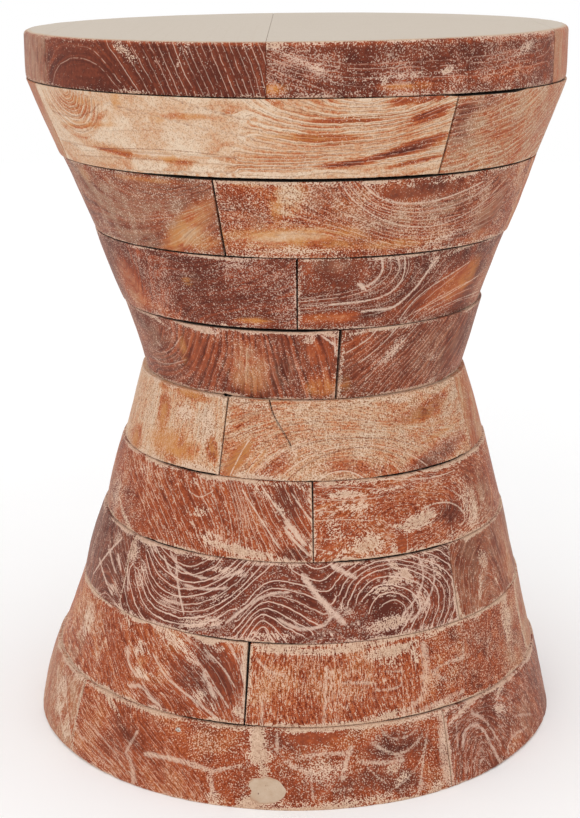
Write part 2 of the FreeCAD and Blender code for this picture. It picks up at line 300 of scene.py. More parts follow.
# Course 3
LOOKS[3, 4] = Look(
    .2, ((-30, 372, 1.6, 1.0), (-58, 334, 1.0, 1.3)), 3.8, .1, .2, .9,
    tints=((-58.5, 315.5, 20.5, 22, 26, .34), (-45.5, 303, 29, 5, -12, .16),
        (-13.5, 303, 18, 2, .34), (-42.5, 339.5, 18, 3.5, -10, .12),
        (-49, 326, 4, 8.5, -10, -.14)),
    greys=((-61, 318, 16.5, 23.5, 26, .7), (-28, 330.5, 4.5, 3.5, .6)),
    golds=((-12, 304, 12.5, 2, 2, 1), (-31, 327, 4, 3, .9)),
    washes=((-16.5, 340.5, 10, 1.5, .55), (-21, 345, 28.5, 1, -4, .8),
        (-10.5, 346.5, 13.5, 1, .9)),
    smooth=((-56, 319, 16.5, 22, 26, .8),))
LOOKS[3, 1] = Look(
    .2, (), 4.4, .75, .3, .7,
    tints=((9.5, 306.5, 27, 4, 4, .3), (48.5, 316.5, 30.5, 15, 30, .3),
        (71.5, 317.5, 17, 25, -20, .3), (4, 312.5, 9.5, 7, .12), (22, 307.5, 8.5, 3, -.3),
        (30.5, 308.5, 23.5, 4, 20, .12)),
    greys=((8.5, 342, 15, 5.5, .4), (69.5, 318.5, 17, 23.5, -20, .5)),
    golds=((57, 323.5, 10, 14, -20, .5),),
    washes=((12.5, 346.5, 27.5, 1, 4, .6), (33, 345.5, 24, 1, 8, .8), (47, 344, 19.5, 1.5, 12, .7),
        (38.5, 337.5, 4.5, 5.5, -20, .5)),
    strokes=((1.3, .9, (22, 344.5), (23, 337.5), (22, 331.5), (19.5, 327)),
        (2.6, 1, (17, 328), (18.5, 325)), (.9, .8, (26.5, 344), (28, 336), (26, 328)),
        (.9, .95, (28.5, 344), (29.5, 335.5), (29, 326.5), (25, 318.5), (18, 316.5), (9.5, 315.5)),
        (.8, .6, (9.5, 315.5), (1.5, 314.5)),
        (1.5, 1, (39.5, 341.5), (37, 333), (35, 323.5), (31, 314.5), (28, 310), (21.5, 310),
         (19, 309.5)), (.7, .8, (64, 320), (54.5, 317), (45, 311), (36.5, 305.5), (32.5, 300.5)),
        (.9, .8, (54, 333.5), (45.5, 327), (38, 319.5), (34, 311), (31.5, 301.5)),
        (.6, .7, (70, 306.5), (53, 308), (42.5, 303), (37.5, 298.5))),
    smooth=((37, 313.5, 25, 9.5, 30, .6), (56, 317, 24, 20.5, -20, .85),
        (9.5, 306.5, 24.5, 4, .5)))
LOOKS[3, 2] = Look(.5, ((130, 372, 1.6, 1.0),), 4.2, .4, .4, .4, .1)
# Course 4, over the waist
LOOKS[4, 4] = Look(
    .32, (), 2.4, .3, .9, .6, .1,
    tints=((-15.5, 271, 14, 19.5, .34), (8.5, 260, 13.5, 9.5, .26), (8, 283.5, 11, 8.5, .16),
        (-5, 269.5, 6.5, 16.5, -24, -.12)),
    greys=((-54, 275.5, 25, 16.5, .55), (-15.5, 271, 15.5, 18, .6), (-3.5, 269.5, 8, 9.5, .5)),
    golds=((-15.5, 261, 12.5, 9.5, .6), (8.5, 258, 12, 6, .7), (-40, 277, 3.5, 11, -10, .7)),
    washes=((-32.5, 295, 17.5, 2, -8, 1.2), (-53, 297.5, 20, 1.5, -20, .9),
        (-29, 293.5, 4.5, 2, 1), (-10.5, 296.5, 41, 1, -2, 1), (4, 291.5, 4.5, 3, .8),
        (9.5, 295.5, 6, 2, -20, 1.2), (-53, 276, 4.5, 2, -40, .5)),
    strokes=((1.2, 1, (7.5, 294.5), (11, 288.5)), (1, .9, (11.5, 291.5), (12, 280.5)),
        (.5, .6, (-62, 271.5), (-54.5, 269), (-46, 275), (-40, 285.5)),
        (.5, .6, (-63, 264), (-53, 261), (-40, 270))),
    smooth=((-34.5, 277.5, 16.5, 18, .5), (8, 283.5, 9.5, 9.5, .5)))
LOOKS[4, 1] = Look(
    .3, (), 2.4, .5, .6, .6, .1,
    tints=((19, 287, 11.5, 11, .14),),
    greys=((51.5, 274.5, 28, 20.5, .4),),
    golds=((16, 259.5, 4, 7, .5),),
    washes=((32.5, 284, 9.5, 4, 40, .5), (28.5, 276, 7, 4, 30, .45), (49, 269.5, 6, 3, .4),
        (32, 298, 47.5, 1, 6, .9), (40, 249.5, 44, 2, 8, .4), (14.5, 276, 1, 20.5, .5)),
    strokes=((.7, .95, (15.5, 282), (19.5, 287), (22.5, 291.5), (24, 296.5)),
        (.8, .8, (31, 297), (28.5, 290), (25, 282.5), (20.5, 275)),
        (.7, .6, (39, 298), (33, 284), (27, 271.5), (23, 262))),
    smooth=((60.5, 274, 16.5, 20.5, .8),))
# Course 5, under the waist: pale, with a hill of rings
LOOKS[5, 4] = Look(
    .84, ((-190, 225, 1.0, 4.0),), 3.0, .12, .35, .9, .2,
    tints=((-51, 231, 7.5, 12.5, 8, -.4), (-38.5, 247, 19, 3.5, -4, -.38),
        (-44, 212.5, 26, 10.5, -.24), (-27, 215.5, 4, 9.5, 24, -.42),
        (-66.5, 205, 10, 11, -30, -.34), (-53.5, 248, 9, 3.5, -.2)),
    greys=((-30.5, 233, 8, 15, .45),),
    golds=((-38.5, 247, 17, 3, -4, 1), (-51, 231, 5.5, 9.5, 8, 1), (-44.5, 213.5, 26, 9.5, .75),
        (-27, 215.5, 3, 8.5, 24, 1), (-66.5, 205, 8.5, 8.5, -30, .9), (-53.5, 248, 9, 3.5, .8),
        (-37, 209, 11.5, 4, .5)),
    washes=((-40, 235.5, 10.5, 6, .6), (-30, 230, 6, 16.5, .4), (-32.5, 203.5, 19, 2, -10, .5)))
LOOKS[5, 1] = Look(
    .78, (), 3.2, .3, .5, 1.0, .4,
    tints=((-6.5, 207, 17.5, 5.5, 40, -.16), (14.5, 209.5, 32, 5.5, -.14),
        (47, 206, 35.5, 7, 14, -.5), (45, 236, 26.5, 5.5, 10, -.36),
        (-18, 212.5, 5, 15, -34, -.34), (25, 203.5, 22, 4, -.14), (33.5, 228.5, 40, 3, 4, .12)),
    greys=((-15, 244, 16.5, 7, .55),),
    golds=((-18, 212.5, 5, 14.5, -34, 1), (44.5, 235, 24.5, 5, 10, .7),
        (-12, 211, 2, 10.5, -38, .9), (49.5, 219.5, 20.5, 1.5, 8, .7),
        (45.5, 226, 23, 1.5, 4, .5)),
    darks=((.9, .8, (-2, 202.5), (4, 212.5), (11.5, 218.5), (19.5, 220.5), (27.5, 216.5),
         (34, 209.5)),
        (.8, .8, (-10, 206.5), (-3.5, 217.5), (6, 225.5), (16.5, 226.5), (29.5, 223.5),
         (36.5, 217.5)),
        (.7, .6, (-23, 222.5), (-14.5, 230.5), (-2, 235.5), (10.5, 238), (23.5, 236)),
        (.6, .7, (-12.5, 220.5), (-8, 225), (-3.5, 230), (7.5, 233)),
        (.6, .5, (-3.5, 242), (7.5, 245.5), (17.5, 246)),
        (.6, .5, (-22, 235), (-11.5, 243.5), (-2, 248))),
    washes=((-11, 201.5, 18, 2, -4, .95), (-3, 199, 16, 1.5, .9), (34.5, 246, 11.5, 2, .6),
        (12.5, 200.5, 9.5, 1.5, 6, .8), (45.5, 227, 32.5, 2, 6, .35), (11.5, 251, 41, 1, .4),
        (-15.5, 246.5, 14, 3, .4)),
    strokes=((.7, .9, (6, 200.5), (10, 205.5), (14.5, 206.5), (18, 203.5), (21, 199)),
        (.6, .7, (-4.5, 202.5), (1, 213), (9.5, 220.5), (19, 222.5), (30, 217.5), (37.5, 209.5),
         (41.5, 202)),
        (.5, .7, (-11.5, 205), (-5.5, 217), (2.5, 225.5), (13.5, 229.5), (26.5, 226.5)),
        (.7, .8, (-20, 202), (-17.5, 214.5), (-15, 223.5)),
        (.6, .8, (-15, 201.5), (-13.5, 209.5), (-10.5, 217.5)),
        (.6, .8, (-13, 202), (-10, 210), (-5, 219.5)),
        (.5, .6, (-10, 202.5), (-6.5, 211.5), (-1, 219))),
    smooth=((-18, 212.5, 5, 15, -34, .9),))
LOOKS[5, 2] = Look(
    .66, ((110, 100, 1.0, 2.0),), 4.4, .2, .4, .5, .7,
    tints=((72, 226, 6, 30, -.1),))
# Course 6
LOOKS[6, 4] = Look(
    .41, (), 4.6, .7, .2, .8,
    tints=((-1.5, 189.5, 13.5, 16.5, -40, -.2), (0, 155.5, 9.5, 5.5, -.24)),
    greys=((-79.5, 161.5, 15, 20.5, -20, .6),),
    washes=((-28, 177.5, 7, 4, 20, .7), (-24.5, 160, 10.5, 5, .45), (-53.5, 192, 9, 5.5, .35),
        (-10, 193.5, 9.5, 3.5, -30, .55), (-13.5, 155.5, 23.5, 3, -6, 1),
        (-16.5, 158.5, 3, 3.5, .6), (-31.5, 194, 4.5, 4, -40, .5), (-4.5, 183, 6, 4, -40, .5),
        (-16.5, 200, 35, 1.5, -4, .8), (1, 197.5, 9.5, 2, -20, .5),
        (-59.5, 156.5, 18.5, 2, -30, .8), (-71.5, 167, 13.5, 16.5, .35)),
    strokes=((3, 1.1, (-2.5, 176.5), (0, 168.5), (2, 163)),
        (.9, .9, (-15.5, 193.5), (-9.5, 176.5), (-4.5, 159.5)),
        (1.1, .9, (-10, 197), (-4.5, 182), (.5, 168.5)),
        (.7, .8, (-33, 188), (-29, 184.5), (-25, 190.5)),
        (1.2, .9, (-1, 192.5), (2, 183.5), (4, 177)), (1, .9, (-3, 172), (0, 162.5), (3.5, 155))))
LOOKS[6, 1] = Look(
    .43, ((30, 176, 2.4, .8), (14, 140, 1.2, 1.0)), 3.4, .28, .3, .85,
    tints=((47.5, 169, 12, 8.5, -.26), (34, 193, 32.5, 3.5, 8, -.14), (17, 160, 17, 8.5, .12)),
    greys=((63.5, 167, 21, 29, 14, .8),),
    darks=((.7, .8, (13, 166.5), (15, 168.5), (17, 171.5)),
        (.5, .5, (6.5, 194), (15, 192), (25.5, 191.5)), (.5, .5, (9.5, 180), (20.5, 180))),
    washes=((35.5, 169.5, 16.5, 5.5, 10, .95), (19.5, 161, 10, 7.5, .8), (14, 192, 12.5, 2.5, .85),
        (16.5, 183.5, 12.5, 3.5, .5), (10.5, 170.5, 7, 8.5, .35), (47.5, 154, 8, 5, .35),
        (56, 168.5, 9.5, 18, 10, .55), (27.5, 192.5, 18, 1.5, 3, .5), (13, 157, 18, 3, 4, .4),
        (27, 154, 3, 5.5, .7), (28.5, 168.5, 6, 2, -20, .5), (12.5, 198.5, 13.5, 1, .8)),
    strokes=((.9, .8, (37.5, 176.5), (42, 178), (48, 175.5), (52.5, 167.5), (53, 160.5),
         (50, 158.5)), (.7, .7, (24, 174), (26.5, 169.5), (28.5, 166.5)),
        (.6, .7, (46.5, 160.5), (46, 153)), (.6, .7, (6, 197), (14, 197), (23.5, 193.5)),
        (.6, .7, (6, 190), (15, 188), (25, 188.5)),
        (.6, .7, (5.5, 176.5), (13.5, 177), (21, 174.5)), (.6, .6, (5.5, 183), (10.5, 181.5)),
        (.6, .6, (5.5, 165.5), (10.5, 164.5)), (.6, .6, (5.5, 159), (9.5, 157)),
        (.7, .8, (29, 198), (41.5, 194), (52, 194)), (1, .6, (44, 190.5), (49, 182.5), (53, 176)),
        (.5, .7, (31, 163.5), (30.5, 151.5))),
    smooth=((29, 157, 4.5, 7, .95), (8.5, 157, 7, 5.5, .6), (47.5, 169, 9, 6, .5)))
# Course 7: dark, with bold swirling rings and strokes of cream
LOOKS[7, 1] = Look(
    .15, (), 4.2, 1.4, .3, .6,
    tints=((-46, 125, 10, 20, .08), (-8, 108, 14, 8, .2), (16, 142, 24, 5, .12)),
    washes=((-50, 140, 6, 8, .85), (-45, 128, 5, 12, 8, .6), (-34, 118, 10, 8, -20, .45),
        (-18, 143, 16, 3, .7), (23, 110, 18, 5, 6, 1.0), (26, 145, 5, 2.6, -40, 1.0),
        (29.5, 137, 3, 7, 24, 1.0), (24, 132, 8, 6, .6), (-6, 106, 16, 3, .7),
        (-24, 109, 18, 5, 10, .7), (36, 143, 10, 3, .6), (-20, 126, 12, 3, 14, .55),
        (-44, 147, 12, 3, -8, .6), (33, 120, 6, 10, 30, .6), (27, 138, 10, 5, 10, .75),
        (20, 130, 7, 5, .6), (39, 136, 6, 5, .7), (12, 122, 8, 4, -30, .5)),
    strokes=((3.6, 1.1, (2, 142.5), (5, 132), (8, 123), (11.5, 114)),
        (2.6, 1.0, (9.5, 148.5), (12.5, 144), (15, 141)),
        (1.3, .9, (-34, 146), (-32, 130), (-29, 113)),
        (1.5, .8, (-37, 150), (-33, 140), (-26, 136), (-20, 138), (-14, 144)),
        (1.5, .8, (-38, 144), (-34, 133), (-26, 129), (-18, 133)),
        (1.6, .8, (-17, 112), (-12, 124), (-7, 132), (-2, 133)),
        (1.4, .8, (33.5, 147), (34.5, 136), (32, 124), (26, 112)),
        (1.3, .8, (37, 146), (38, 134), (35, 120), (29, 109)),
        (2.0, .8, (-4, 116), (1, 109.5), (7, 112), (9, 120)), (1.4, .8, (-52, 134), (-49, 116))))
LOOKS[7, 2] = Look(
    .3, ((58, 40, 1.0, 3.0),), 3.4, .5, .2, .5, .5,
    tints=((74, 124, 16, 30, .2),),
    washes=((57, 132, 6, 10, 20, .75), (54, 118, 3, 12, -20, .6), (62, 116, 3, 10, 14, .6)),
    greys=((78, 124, 18, 30, .3),))
LOOKS[7, 4] = Look(
    .16, ((-96, 100, 1.0, 2.0), (-40, 180, 1.0, 1.0)), 4.0, .6, .2, .5, .15,
    washes=((-60, 143, 6, 5, 30, .75), (-55, 112, 6, 5, .7), (-76, 130, 8, 20, .35)),
    strokes=((1.6, .9, (-70, 110), (-64, 128), (-58, 143)),
        (1.5, .9, (-68, 122), (-62, 115), (-56, 108)), (2.2, .9, (-57, 133), (-54, 126)),
        (1.4, .8, (-64, 134), (-56, 122))))
# Course 8
LOOKS[8, 4] = Look(
    .5, (), 5.2, .45, .25, .8,
    tints=((-21, 78, 28.5, 23.5, -10, -.34), (-34.5, 55.5, 21, 7, -20, -.16),
        (-39, 77.5, 5, 4, .2), (-29, 93, 18.5, 5.5, -36, .12)),
    greys=((-68.5, 64.5, 17, 27.5, -10, .7),),
    washes=((-40, 83, 8, 5.5, .5), (-22, 64.5, 5, 4, 30, .7), (-18.5, 60.5, 2, 3.5, .8),
        (-33.5, 98.5, 16, 5, -34, .55), (-65, 80.5, 9.5, 12.5, .5), (-29.5, 103, 46, 2, -14, .8),
        (-13, 58.5, 3.5, 4, .8), (-12, 89, 2, 15, .4), (-26.5, 90, 15, 4, -36, .4),
        (-51, 104, 32, 2, -30, .7), (-39, 70, 7.5, 3, -20, .6)),
    strokes=((2.2, .68, (-44.5, 81), (-43.5, 73), (-40.5, 67.5), (-36.5, 67)),
        (1.4, .72, (-36, 82.5), (-32, 72.5), (-27, 66), (-21.5, 59.5), (-18, 54)),
        (1.1, .65, (-22, 93), (-17, 84), (-14, 73)), (1.1, .65, (-16, 98), (-13, 87), (-12, 76.5)),
        (1.1, .65, (-21.5, 81), (-18.5, 71.5), (-15, 60.5)),
        (3.2, .72, (-21.5, 77.5), (-20, 71.5), (-18.5, 66)),
        (2.4, .65, (-41, 59.5), (-37, 62.5), (-34.5, 56.5), (-32, 54)),
        (1.4, .43, (-38, 100.5), (-30, 94), (-23.5, 84)),
        (1.4, .43, (-31, 102.5), (-25, 95), (-19.5, 86.5)),
        (1.3, .58, (-13, 96), (-11.5, 78.5), (-12, 60))),
    smooth=((-17, 76.5, 12.5, 20.5, -10, .8),))
LOOKS[8, 1] = Look(
    .5, ((-190, 70, 1.0, 5.0),), 2.4, .3, .3, .95,
    tints=((48.5, 77.5, 20, 27.5, -.14), (37.5, 92, 22, 5.5, 10, -.12)),
    greys=((64, 62.5, 21.5, 34.5, .55),),
    washes=((23, 92.5, 20.5, 4, 3, 1.1), (11.5, 97, 27.5, 2.5, 3, .85), (-2.5, 97, 23, 2, .9),
        (22.5, 85.5, 10, 3, .55), (29, 86.5, 4.5, 5, .6), (21.5, 54.5, 8.5, 2.5, 10, .8),
        (11.5, 52, 34, 2, 5, .6), (63, 84.5, 9, 16.5, .6), (30.5, 96.5, 23.5, 1.5, 6, .5)),
    strokes=((1.9, .61, (10.5, 76.5), (14.5, 76), (18, 74.5)),
        (1.6, .54, (10.5, 89.5), (10, 76.5), (9, 64)),
        (2.1, .58, (7, 86.5), (6.5, 67.5), (6, 51.5)), (1.3, .58, (25, 81.5), (24.5, 71)),
        (1.6, .61, (18.5, 70), (22.5, 69), (24, 70.5)),
        (5.4, .61, (31.5, 92.5), (31.5, 80), (30.5, 64.5)),
        (3.5, .61, (30.5, 64.5), (28.5, 58.5), (24.5, 54)),
        (2.2, .65, (33.5, 75.5), (38, 78), (42.5, 77)), (1.8, .61, (42.5, 77), (43.5, 86)),
        (2.2, .58, (33, 74.5), (36, 67.5)),
        (3.2, .61, (24, 53), (29.5, 52.5), (35, 55), (40.5, 56.5)),
        (1.9, .58, (-7.5, 65), (-7.5, 50.5)), (1.9, .58, (-9, 91), (-6.5, 84), (-2.5, 82)),
        (1.3, .5, (20.5, 81), (25, 79)), (1.3, .43, (54.5, 99.5), (51, 68.5)),
        (1.1, .43, (43.5, 97.5), (43, 88)), (1.1, .43, (13, 90.5), (12, 72.5)),
        (1.1, .43, (9, 91), (8, 67))))
LOOKS[8, 2] = Look(.6, ((110, 30, 1.0, 1.6),), 4.0, .4, .3, .6, .75)
# Course 9, the foot
LOOKS[9, 4] = Look(
    .58, ((-120, 80, 1.0, 1.4),), 4.0, .4, .3, .7, .7,
    washes=((-66, 30, 10, 16, 20, .5), (-60, 12, 8, 10, .45)),
    strokes=((1.6, .7, (-72, 38), (-66, 22), (-60, 8)),
        (1.6, .7, (-66, 42), (-61, 26), (-57, 10))))
LOOKS[9, 1] = Look(
    .46, (), 5.0, .4, .2, .8,
    tints=((-40.5, 26, 17.5, 14, -.12), (21.5, 35.5, 26, 11, -.3),
        (20.5, 14, 24.5, 9.5, -10, -.28), (7, 15.5, 27, 9.5, -.18), (-4.5, 40.5, 5.5, 8.5, -.14)),
    washes=((-8, 43, 5.5, 9, 1.35), (-7.5, 33, 8, 6, 1.35), (-6.5, 24, 4.5, 4, 1.1),
        (-9, 4, 9.5, 5, 1.3), (-16.5, 5, 6.5, 3.5, .6), (-45.5, 46.5, 13.5, 2, -28, .95),
        (20.5, 21.5, 5.5, 3.5, 20, .9), (6, 24, 15, 8.5, .35), (22, 14, 7, 3, 30, .7),
        (11, 3.5, 41, 2.5, 4, .7), (30, 3, 7, 4, 20, .5), (-4, 4.5, 20, 3, .4)),
    strokes=((3, .72, (-33, 23), (-30, 24), (-26, 24.5), (-22.5, 24), (-19, 22.5), (-17.5, 21)),
        (2.1, .61, (-17.5, 21), (-14.5, 24), (-11.5, 27)),
        (3.2, .65, (-18, 20), (-17.5, 12.5), (-16.5, 6)),
        (1.9, .58, (-36, 34.5), (-37, 28), (-38, 21.5)),
        (3.2, .65, (-38, 19.5), (-36.5, 14.5), (-35.5, 7), (-35.5, 1.5)),
        (1.3, .5, (-52.5, 27), (-46.5, 23.5), (-40.5, 16), (-39, 10)),
        (1.3, .43, (-53.5, 15.5), (-47.5, 15), (-41.5, 8)), (2.1, .58, (-4, 47), (-4, 37.5)),
        (3, .65, (-2, 30.5), (1, 25.5), (4.5, 23.5)), (2.2, .65, (1.5, 34), (5, 35.5), (10, 34.5)),
        (3, .72, (11.5, 37), (10.5, 30.5), (9.5, 19.5)),
        (1.9, .58, (4.5, 23.5), (7, 25.5), (9.5, 26.5)),
        (1.6, .54, (3, 34.5), (3, 20.5), (3.5, 6.5)), (1.9, .5, (7.5, 12.5), (11, 12)),
        (2.4, .65, (13.5, 28), (18.5, 26), (22.5, 25.5)),
        (2.1, .61, (16, 39), (19, 33), (21.5, 29), (25, 31.5), (27, 36.5)),
        (1.4, .47, (18, 47.5), (20, 40.5), (23.5, 38.5), (27, 43.5)),
        (1.1, .58, (14, 29.5), (15.5, 21.5), (18.5, 13.5)),
        (1.3, .54, (19.5, 8), (23, 12.5), (26, 20), (28, 28.5)),
        (1.4, .61, (29.5, 43.5), (28, 28.5), (26, 7.5)), (2.7, .65, (26.5, 8.5), (25.5, 2)),
        (5.4, .72, (33, 47), (32.5, 28.5), (32.5, 12), (33.5, 2.5)),
        (2.6, .68, (25.5, 49), (30, 49), (34.5, 48))),
    smooth=((4, 45, 19, 4, .8),))
LOOKS[9, 2] = Look(
    .27, (), 4.4, .4, .3, .8, .1,
    tints=((64, 13, 30.5, 20.5, .14), (55, 6.5, 14, 8.5, .16)),
    greys=((62, 19, 22.5, 20.5, .45),),
    washes=((51.5, 35.5, 9.5, 3.5, -20, .75), (42, 48.5, 27, 2, 20, .95),
        (53, 47.5, 11, 2, 30, .9)),
    strokes=((2.2, .72, (38, 24.5), (38.5, 31), (40, 34), (42.5, 34), (45, 27), (46, 18.5),
         (47.5, 8), (48.5, 1.5)), (1.8, .61, (42, 41.5), (45.5, 34.5), (47.5, 25), (49.5, 13)),
        (1.3, .54, (37, 40), (36.5, 25.5)), (1.3, .5, (41.5, 1), (42, 9), (43.5, 11), (45, 4)),
        (1.8, .58, (51.5, 2.5), (52, 10), (55, 14), (61, 11)),
        (1.9, .43, (56, 25.5), (64.5, 16.5))))
# The top's boards: rim figure. Their upper face is pale: a pale wash, lightened by a painted
# reflection of the white surroundings at a glancing view
LOOKS["top", 0] = Look(.36, ((-190, 460, 1.0, 4.0),), 2.2, .5, .6, .3, .8)
LOOKS["top", 1] = Look(
    .13, (), 4.4, .65, .3, .35,
    tints=((-63, 459, 12, 19.5, .3),),
    greys=((-63, 459, 13.5, 20.5, .95),),
    washes=((-35.5, 472.5, 6.5, 3.5, -40, .8), (-33, 468.5, 7, 3.5, -50, .7),
        (-31, 467.5, 4, 4, -50, .4), (-22, 466.5, 2, 8.5, -20, .45), (-8.5, 475.5, 5.5, 3, .5),
        (-6, 451.5, 4, 3, .5), (-20.5, 473, 2, 5.5, .5)),
    smooth=((-45, 457.5, 32, 12.5, .8),))
LOOKS["top", 2] = Look(
    .2, (), 3.6, .5, .3, 1.0,
    tints=((35, 453.5, 65, 5.5, 4, .16), (49, 457, 30.5, 12.5, .12), (-4, 450.5, 8, 3.5, .28),
        (19.5, 452, 21.5, 2, 2, .2)),
    golds=((-4, 450.5, 8, 3.5, .9), (20.5, 451.5, 17, 2, 3, .7)),
    washes=((-4.5, 475, 9.5, 2, .8), (4, 462.5, 3.5, 3.5, -40, .45),
        (16.5, 454.5, 3, 3.5, 20, .45), (29.5, 460, 4.5, 2, 20, .8),
        (50.5, 469.5, 12.5, 3.5, 20, .55), (19.5, 457.5, 42.5, 1.5, 3, .4),
        (.5, 467, 16, 2, -24, .4)),
    smooth=((9, 473.5, 27, 4, .5), (58.5, 461, 15.5, 20.5, .6)))
LOOKS["top", 3] = Look(.6, ((190, 460, 1.0, 4.0),), 2.6, .3, .5, .3, .8)
# Ring lines laid out on the blocks that the front shows best: families of ring number
# and points of azimuth and height. An entry of four numbers is an eye, as in a Look
RING_LINES = {}
RING_LINES["top", 1] = (
    ((0, (-56.5, 446), (-55, 455), (-51, 462), (-46, 464), (-41.5, 461), (-38.5, 456),
      (-34.5, 445)),
     (1, (-59, 445), (-56, 458), (-51.5, 466), (-46, 469), (-41.5, 466), (-37, 456), (-33, 445)),
     (3, (-36, 475), (-32, 462), (-28.5, 446)), (6, (-29, 476), (-26, 463), (-23.5, 446)),
     (10, (-22, 476), (-20, 462), (-17.5, 447)), (16, (-14, 477), (-12, 463), (-10, 447)),
     (20, (-8.5, 477), (-6.5, 464), (-5.5, 447))),)
RING_LINES["top", 2] = (
    ((0, (-5.5, 476), (0.5, 469), (10, 465), (21.5, 465), (37, 467), (56.5, 472)),
     (4, (-5.5, 467), (-1, 461), (6, 456), (19.5, 454), (35, 453), (59, 456)),
     (7, (-5.5, 458), (-2, 452), (1.5, 447))),)
RING_LINES[1, 1] = (
    ((0, (7, 447), (10.5, 443), (14, 442), (18.5, 446)),
     (2, (1, 446), (5.5, 440), (12, 438), (20, 439), (25.5, 446)),
     (4, (-6.5, 446), (-3, 438), (3.5, 434), (12, 433), (22, 435), (31, 446)),
     (7, (-8, 432), (1, 425), (10.5, 425), (20.5, 428), (31.5, 439)),
     (10, (-8, 422), (1, 417), (10.5, 417), (21, 421), (32.5, 429)),
     (13, (-11.5, 410), (1, 410), (13, 412), (32.5, 418)),
     (17, (-11.5, 401), (7, 403), (22, 405), (33, 408))),
    (-52, 446, 1, 0.9))
RING_LINES[2, 4] = (
    ((0, (-37.5, 391), (-30.5, 389), (-23.5, 393)),
     (2, (-46, 389), (-37, 383), (-30.5, 383), (-20.5, 392)),
     (4, (-54, 390), (-48, 381), (-36, 378), (-28.5, 380), (-19, 390)),
     (9, (-70.5, 368), (-50, 364), (-34.5, 367), (-25.5, 374), (-18, 382)),
     (12, (-80.5, 341), (-44, 353), (-31, 362), (-23, 373), (-18, 380)),
     (15, (-42, 343), (-30, 349), (-26.5, 359), (-22, 367), (-18, 373)),
     (18, (-27.5, 345), (-23, 353), (-18, 360))),)
RING_LINES[2, 1] = (
    ((0, (14, 397), (17.5, 386), (22.5, 379), (30, 379), (43, 383), (50.5, 391)),
     (3, (11.5, 396), (15.5, 381), (22, 374), (31, 370), (44.5, 372), (57.5, 382)),
     (7, (8.5, 396), (12, 382), (19, 370), (28.5, 362), (40, 361), (51.5, 368), (61, 382)),
     (11, (-1.5, 384), (5.5, 373), (16.5, 363), (28.5, 354), (45, 353), (61, 360)),
     (14, (-17, 360), (-3.5, 366), (8, 363), (21, 351), (36.5, 343))),)
RING_LINES[3, 1] = (
    ((0, (21.5, 348), (23, 337), (20.5, 328), (13, 323), (1.5, 320)),
     (2, (26, 348), (28, 336), (25, 325), (17.5, 319), (1.5, 316)),
     (3, (28, 347), (30, 334), (27.5, 323), (21, 317), (9.5, 315), (1.5, 313)),
     (5, (36.5, 347), (38, 335), (33, 321), (28.5, 311), (23.5, 308), (15, 311), (1.5, 308)),
     (7, (46, 339), (40.5, 322), (34, 312), (32, 298)),
     (9, (64, 321), (48.5, 316), (39, 309), (34.5, 298)),
     (11, (80, 304), (55.5, 308), (43.5, 302), (39, 296))),)
RING_LINES[4, 4] = (
    ((0, (-48, 288), (-52.5, 277), (-63.5, 268)),
     (4, (-36.5, 292), (-40.5, 277), (-50, 266), (-67.5, 261)),
     (7, (-28.5, 294), (-35, 270), (-44.5, 256), (-60, 252)),
     (11, (-20.5, 296), (-23, 275), (-29, 250)), (16, (-12, 297), (-12.5, 277), (-11.5, 250)),
     (19, (-8.5, 298), (-6.5, 277), (-2.5, 251)), (23, (-1.5, 297), (1.5, 276), (5.5, 251)),
     (26, (6.5, 297), (10, 277), (12.5, 250))),)
RING_LINES[4, 1] = (
    ((0, (13, 288), (19, 292), (23, 300)), (2, (14.5, 276), (22, 286), (29.5, 300)),
     (5, (17.5, 267), (26.5, 281), (35.5, 299)), (10, (25, 252), (34, 272), (44.5, 297)),
     (15, (35.5, 250), (42.5, 270), (53, 294)), (19, (47, 249), (54.5, 266), (63.5, 291))),)
RING_LINES[5, 1] = (
    ((0, (4.5, 199), (8, 205), (14.5, 208), (19.5, 204), (22.5, 197)),
     (3, (-3, 201), (2.5, 213), (14.5, 216), (27, 211), (33, 199)),
     (6, (-10.5, 201), (-3.5, 215), (7.5, 222), (17, 223), (29, 218), (41.5, 202)),
     (9, (-16, 201), (-8.5, 219), (4.5, 227), (20, 227), (34.5, 220), (48.5, 203)),
     (13, (-22, 216), (-9.5, 231), (4.5, 236), (20, 234), (41, 223), (56, 213), (79.5, 209)),
     (17, (-22.5, 232), (-8.5, 242), (11, 244), (34, 233), (50, 226), (79.5, 228)),
     (20, (-22, 249), (1.5, 252), (28, 248), (47, 235), (59.5, 235), (81.5, 239))),)
RING_LINES[6, 4] = (
    ((-12, (-66, 190), (-52.5, 174), (-42, 152)), (-6, (-46, 196), (-37, 178), (-28, 151)),
     (0, (-21.5, 202), (-17, 181), (-14.5, 150)), (4, (-17.5, 202), (-11, 173), (-6, 149)),
     (9, (-10, 202), (-3, 177), (4.5, 151)), (12, (-3, 203), (1, 185), (6, 165))),)
